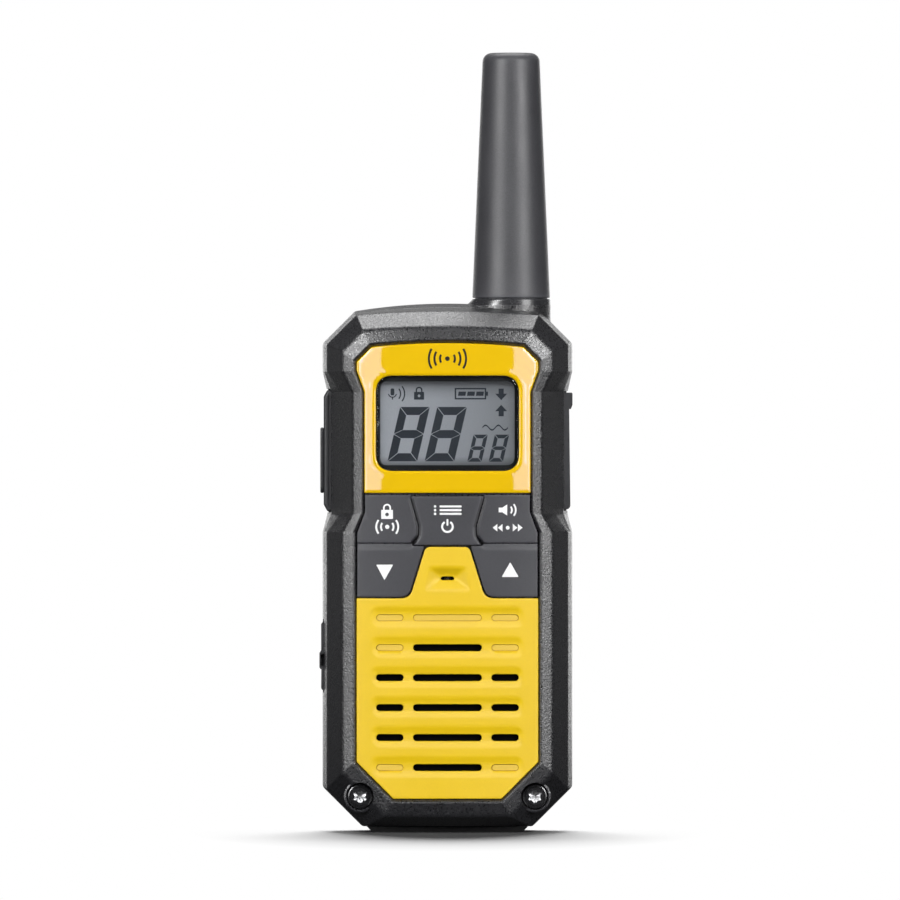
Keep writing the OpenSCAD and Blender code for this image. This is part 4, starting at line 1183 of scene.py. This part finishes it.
def build_antenna():
    top = sleeve_high.z
    tip_r, tip = 6.75, 2.2
    low = sleeve_low.z
    side = [(antenna_base_r - 0.15, low), (antenna_base_r - 0.02, low + 0.16)]
    for t in np.linspace(0.02, 1, 12):
        side.append((antenna_base_r + (tip_r - antenna_base_r) * t, low + (top - tip - low) * t))
    arc = [(tip_r - tip * (1 - math.cos(a)), top - tip * (1 - math.sin(a)) - 0.06 * math.sin(a))
           for a in np.radians(np.arange(9, 91, 9))]
    skirt = [(5, low - 0.2), (8.5, low - 0.2), (8.5, low)]
    profile = skirt + side + arc + [(2.4, top - 0.015), (0, top), (0, top - 5), (5, top - 5), (5, low - 0.2)]
    sleeve = turned("antenna_sleeve_shell", profile, (antenna_x, antenna_y, 0), (0, 0, 1), 96)
    settle(sleeve, "case", antenna_plastic, ["antenna_sleeve"], sharp=50)


# ---------------------------------------------------------------- side controls

def build_ptt():
    low, high = span("ptt_button")
    face = -29.1
    z0, z1 = low.z + 0.8, high.z - 0.8
    y0, y1 = low.y + 0.4, high.y - 0.4
    path = [(face, z0 + 1.7), (face + 0.9, z0), (-25.2, z0), (-25.2, z1), (face + 0.9, z1), (face, z1 - 1.6)]
    bar = prism_y("ptt_bar", fillet(path, (0, 1, 4, 5), 0.8), y0, y1)
    round_edges(bar, 0.7, 4, 40)
    cut(bar, block("front_line", -28.05, -27.75, y0 - 1, y0 + 0.3, z0 + 1.2, z1 - 1.2))
    add(bar, block("flange", -25.3, -24.4, y0 - 0.4, y1 + 0.4, z0 - 0.8, z1 + 0.8))
    cut(bar, *[block("groove", -30, face + 0.3, y0 + 1.9, y1 - 1.9, 97.0 + 1.5 * i, 97.6 + 1.5 * i)
               for i in range(3)])
    settle(bar, "ptt", black_rubber, ["ptt_button"])
    low, high = span("ptt_pad")
    outline = fillet([(low.y, low.z), (high.y, low.z), (high.y, high.z), (low.y, high.z)], range(4), 1.6, 6)
    pad = prism_x("ptt_grip", outline, low.x, high.x + 0.05)
    round_edges(pad, 0.3, 3, 60)
    rows = int((high.z - low.z - 3) / 1.8)
    slots = [block("groove", low.x - 1, low.x + 0.32, low.y + 1.3, high.y - 1.3, low.z + 2.2 + 1.8 * i,
                   low.z + 2.9 + 1.8 * i) for i in range(rows)]
    cut(pad, *slots)
    settle(pad, "ptt", black_rubber, ["ptt_pad"])


def build_jack_cover():
    low, high = span("jack_cover")
    inner, outer, tab = JACK_POCKET_X + 0.05, 28.9, high.x
    mid = (inner + outer) / 2
    r = (outer - inner) / 2
    axis_z = low.z + r
    path = arc(mid, axis_z, r, 180, 360, 13)
    path += fillet([(outer, 99), (tab, 100.3), (tab, high.z), (inner, high.z)], (0, 1, 2), 0.35)
    bar = prism_y("jack_cover_bar", path, low.y, high.y)
    round_edges(bar, 0.3, 3, 50)
    slots = [block("groove", outer - 0.35, outer + 1, low.y + 1.5, high.y - 1.5, 80.0 + 1.7 * i,
                   80.7 + 1.7 * i) for i in range(4)]
    slots += [block("nail", tab - 0.3, tab + 1, low.y + 2.0, high.y - 2.0, 101.2, 101.8)]
    cut(bar, *slots)
    add(bar, *[rod_x("plug", JACK_Y, z, plug_r, low.x, inner + 0.5) for z, plug_r in zip(jack_z, (2.6, 2.2))])
    settle(bar, "jack_flap", black_rubber, ["jack_cover"])


def build_usb_cover():
    low, high = span("usb_cover")
    inner, outer, lip = -USB_POCKET_X - 0.05, -29.7, low.x
    mid = (inner + outer) / 2
    r = (inner - outer) / 2
    axis_z = low.z + r
    path = arc(mid, axis_z, r, 0, -180, 13)
    path += fillet([(outer, 38.0), (lip, 38.6), (lip, 42.0), (outer, 42.6), (outer, high.z - 0.8),
                    (outer + 0.6, high.z), (inner, high.z)], range(6), 0.3)
    cover = prism_y("usb_cover_flap", path, low.y, high.y)
    round_edges(cover, 0.2, 2, 50)
    finger = rectangle(outer - 0.1, inner - 0.35, 38.9, 41.8, 0.5)
    cut(cover, prism_y("finger", finger, low.y - 0.5, low.y + 2.6))
    add(cover, block("tongue", inner - 0.3, high.x, 2.0, 4.0, 37.9, 44.7))
    settle(cover, "usb_flap", black_rubber, ["usb_cover"])


# ---------------------------------------------------------------- belt clip

def build_clip():
    low, high = span("belt_clip")
    half = high.x
    arm0, arm1 = high.y - 2.0, high.y
    bottom, top = low.z, high.z
    profile = [(arm0, bottom + 3), (arm0, top), (arm1, top - 1), (arm1, bottom + 2), (arm1 - 1.6, bottom),
               (low.y + 1.2, bottom), (low.y, bottom + 1.2), (low.y + 1.2, bottom + 2.4),
               (arm0 - 1.2, bottom + 2.4)]
    arm = prism_x("belt_clip_arm", fillet(profile, range(9), 0.7, 3), -half, half)
    right = [(half - 1.2, bottom - 0.01), (half, bottom + 12), (half, top)]
    plan = fillet(mirrored(right) + right, range(6), dict(enumerate((3, 20, 2, 2, 20, 3))), 6)
    combine(arm, prism_y("plan", plan, low.y - 1, high.y + 1), "INTERSECT")
    round_edges(arm, 0.35, 2, 45)
    right = [(half - 3.2, bottom + 8), (half - 2.6, 100)]
    cut(arm, prism_y("panel", fillet(mirrored(right) + right, range(4), 1.5, 5), arm1 - 0.4, arm1 + 1))
    grips = [prism_y("grip", pill(0, 104.4 + 2.1 * i, 11.5, 0.9), arm1 - 0.3, arm1 + 1) for i in range(4)]
    cut(arm, *grips)
    ear = [(arm0 + 0.5, pin_z + 5), (arm0 + 0.5, pin_z - 5)] + arc(pin_y, pin_z, EAR_R, -90, -270, 15)
    for x in (-6.1, 3.9):
        add(arm, prism_x("ear", ear, x, x + 2.2))
    cut(arm, rod_x("bore", pin_y, pin_z, 1.05, -9, 9))
    settle(arm, "clip_arm", case_plastic, ["belt_clip"])


def build_bracket():
    low, high = span("clip_bracket")
    plate = prism_y("clip_bracket_plate", rectangle(low.x, high.x, low.z, high.z, 1.6), low.y, low.y + 2)
    round_edges(plate, 0.3, 2, 50)
    ear = [(low.y + 1, pin_z - 6), (low.y + 1, pin_z + 6)] + arc(pin_y, pin_z, EAR_R, 80, -80, 13)
    for x in (low.x, high.x - 2):
        add(plate, prism_x("ear", ear, x, x + 2))
    cut(plate, rod_x("bore", pin_y, pin_z, 1.0, -9, 9))
    cut(plate, rod_y("hole", 0, clip_screw_z, 1.4, low.y - 1, low.y + 3))
    settle(plate, "case", case_plastic, ["clip_bracket"])


# ---------------------------------------------------------------- carried-over CAD nodes

# The keypad mat and microphone boot get the near-black rubber: black rubber, darkened further as painted
# shade in the gaps around them.
CARRIED = {
    black_rubber: "case_seal speaker_gasket", rubber_painted_shade: "keypad_mat mic_boot",
    black_plastic: "speaker_jack mic_jack board_components", black_screw: "antenna_base",
    white_plastic: "antenna_core lcd_backlight lcd_connector", brass: "antenna_coil antenna_nut",
    zinc_steel: "board_screws key_switches ptt_switch usb_socket lcd_frame rf_shield microphone "
                "speaker_frame speaker_magnet contact_springs contact_plates clip_pin clip_spring",
    lcd: "lcd_glass", board_green: "main_board", cone_paper: "speaker_cone", speaker_cloth_painted_shade: "speaker_mesh",
    cell_sleeve: "battery_cells"}


def dress_cad():
    for material, names in CARRIED.items():
        for name in names.split():
            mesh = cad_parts[name].data
            mesh.materials.clear()
            mesh.materials.append(material)


# ---------------------------------------------------------------- stage

def camera_only(s, seen, other):
    """Shader that the camera sees one way and every other ray another way."""
    return s.put("MixShader", {0: s.put("LightPath"), 1: other, 2: seen})


def build_floor():
    s = Shader("stage_floor")
    away = s.put("VectorMath", {0: s.mapped(Scale=(2.8, 1, 1))}, 1, operation="LENGTH")
    grain = s.noise(s.place, 900.0)
    paper = s.put("BsdfDiffuse", {"Color": (0.9, 0.9, 0.9, 1), "Roughness": s.spread(grain, 0.4, 0.6)})
    white = s.put("Emission", {"Color": (1, 1, 1, 1), "Strength": 1.0})
    seen = s.put("MixShader", {0: s.spread(away, 0.0, 1.0, 0.055, 0.17), 1: paper, 2: white})
    behind = s.spread(s.axis(1), 0.03, 0.35, 0.08, 0.5)
    bounce = s.put("Emission", {"Color": (1, 1, 1, 1), "Strength": behind})
    half = 6.0
    mesh = bpy.data.meshes.new("stage_floor")
    mesh.from_pydata([(x * half, y * half, 0) for x, y in ((-1, -1), (1, -1), (1, 1), (-1, 1))], [],
                     [(0, 1, 2, 3)])
    mesh.materials.append(s.close(camera_only(s, seen, bounce)))
    floor = in_scene("stage_floor", mesh)
    return floor


def build_world():
    """White for the camera; dim for every other ray, and brighter straight behind the radio."""
    s = Shader("studio", "World")
    behind = s.put("MapRange", {"Value": s.axis(1), "From Min": 0.8, "From Max": 0.96, "To Min": 0.08,
                                "To Max": 0.6}, interpolation_type="SMOOTHSTEP")
    strength = s.put("Mix", {0: s.put("LightPath"), 2: behind, 3: 1.0})
    bpy.context.scene.world = s.close(s.put("Background", {"Color": (1, 1, 1, 1), "Strength": strength}))


def softbox(name, azimuth, elevation, distance, width, height, radiance):
    """Area light seen from the radio at that azimuth (0 is the camera's side) and elevation,
    in degrees and metres."""
    lamp = bpy.data.lights.new(name, "AREA")
    lamp.shape = "RECTANGLE"
    lamp.size, lamp.size_y = width, height
    lamp.energy = radiance * math.pi * width * height
    light = in_scene(name, lamp)
    a, e = math.radians(azimuth), math.radians(elevation)
    away = Vector((math.sin(a) * math.cos(e), -math.cos(a) * math.cos(e), math.sin(e)))
    light.location = Vector((0, 0, 0.09)) + away * distance
    light.rotation_mode = "QUATERNION"
    light.rotation_quaternion = (-away).to_track_quat("-Z", "Y")
    light.visible_camera = False
    return light


def lights_only(light, obj, state="INCLUDE"):
    """Links a light to one object alone, or with EXCLUDE to everything else."""
    group = bpy.data.collections.new(light.name + "_group")
    group.objects.link(obj)
    group.collection_objects[0].light_linking.link_state = state
    light.light_linking.receiver_collection = group


def build_lights(glossy, floor):
    studio = [softbox("fill", 0, 25, 1.5, 1.2, 0.8, 6.1), softbox("top_box", 180, 72, 0.8, 0.7, 0.5, 4.6)]
    studio[0].visible_glossy = False
    for side in (-1, 1):
        studio += [softbox("wing_box", side * 47, -2, 1.0, 0.44, 0.52, 5.9),
                   softbox("rim_box", side * 159, 2, 1.0, 0.38, 0.5, 1.8)]
        glint = softbox("glint", side * 39, 20, 1.0, 0.28, 0.24, 22.0)
        glint.visible_diffuse = False
        studio.append(glint)
        for azimuth, width, radiance in ((22.9, 0.2, 4.0), (25.6, 0.1, 5.4)):
            strip = softbox("strip", side * azimuth, 0, 1.0, width, 1.3, radiance)
            strip.data.color = (0.5, 0.55, 1.0)
            strip.visible_diffuse = False
            lights_only(strip, glossy)
    for light in studio:
        lights_only(light, floor, "EXCLUDE")
    lights_only(softbox("floor_light", 180, 50, 1.0, 0.5, 0.6, 26.0), floor)


def build_camera():
    """Camera square on to the front; picture is the width in view at the radio."""
    picture = 0.2115
    distance = 3.5
    data = bpy.data.cameras.new("camera")
    data.sensor_width = 36
    data.lens = data.sensor_width * distance / picture
    data.clip_start, data.clip_end = 0.05, 50
    camera = in_scene("camera", data)
    camera.location = (0.0006, -distance, 0.0897)
    camera.rotation_euler = (math.pi / 2, 0, 0)
    bpy.context.scene.camera = camera


bpy.context.scene.view_settings.view_transform = "Standard"
build_front_case()
build_rear_case()
build_battery_door()
surround = build_surround()
grille = build_grille()
build_window()
build_display_content()
build_keys()
build_screws()
build_antenna()
build_ptt()
build_jack_cover()
build_usb_cover()
build_clip()
build_bracket()
dress_cad()
for panel in (surround, grille):
    panel.visible_diffuse = False
stage_floor = build_floor()
build_world()
build_lights(surround, stage_floor)
build_camera()
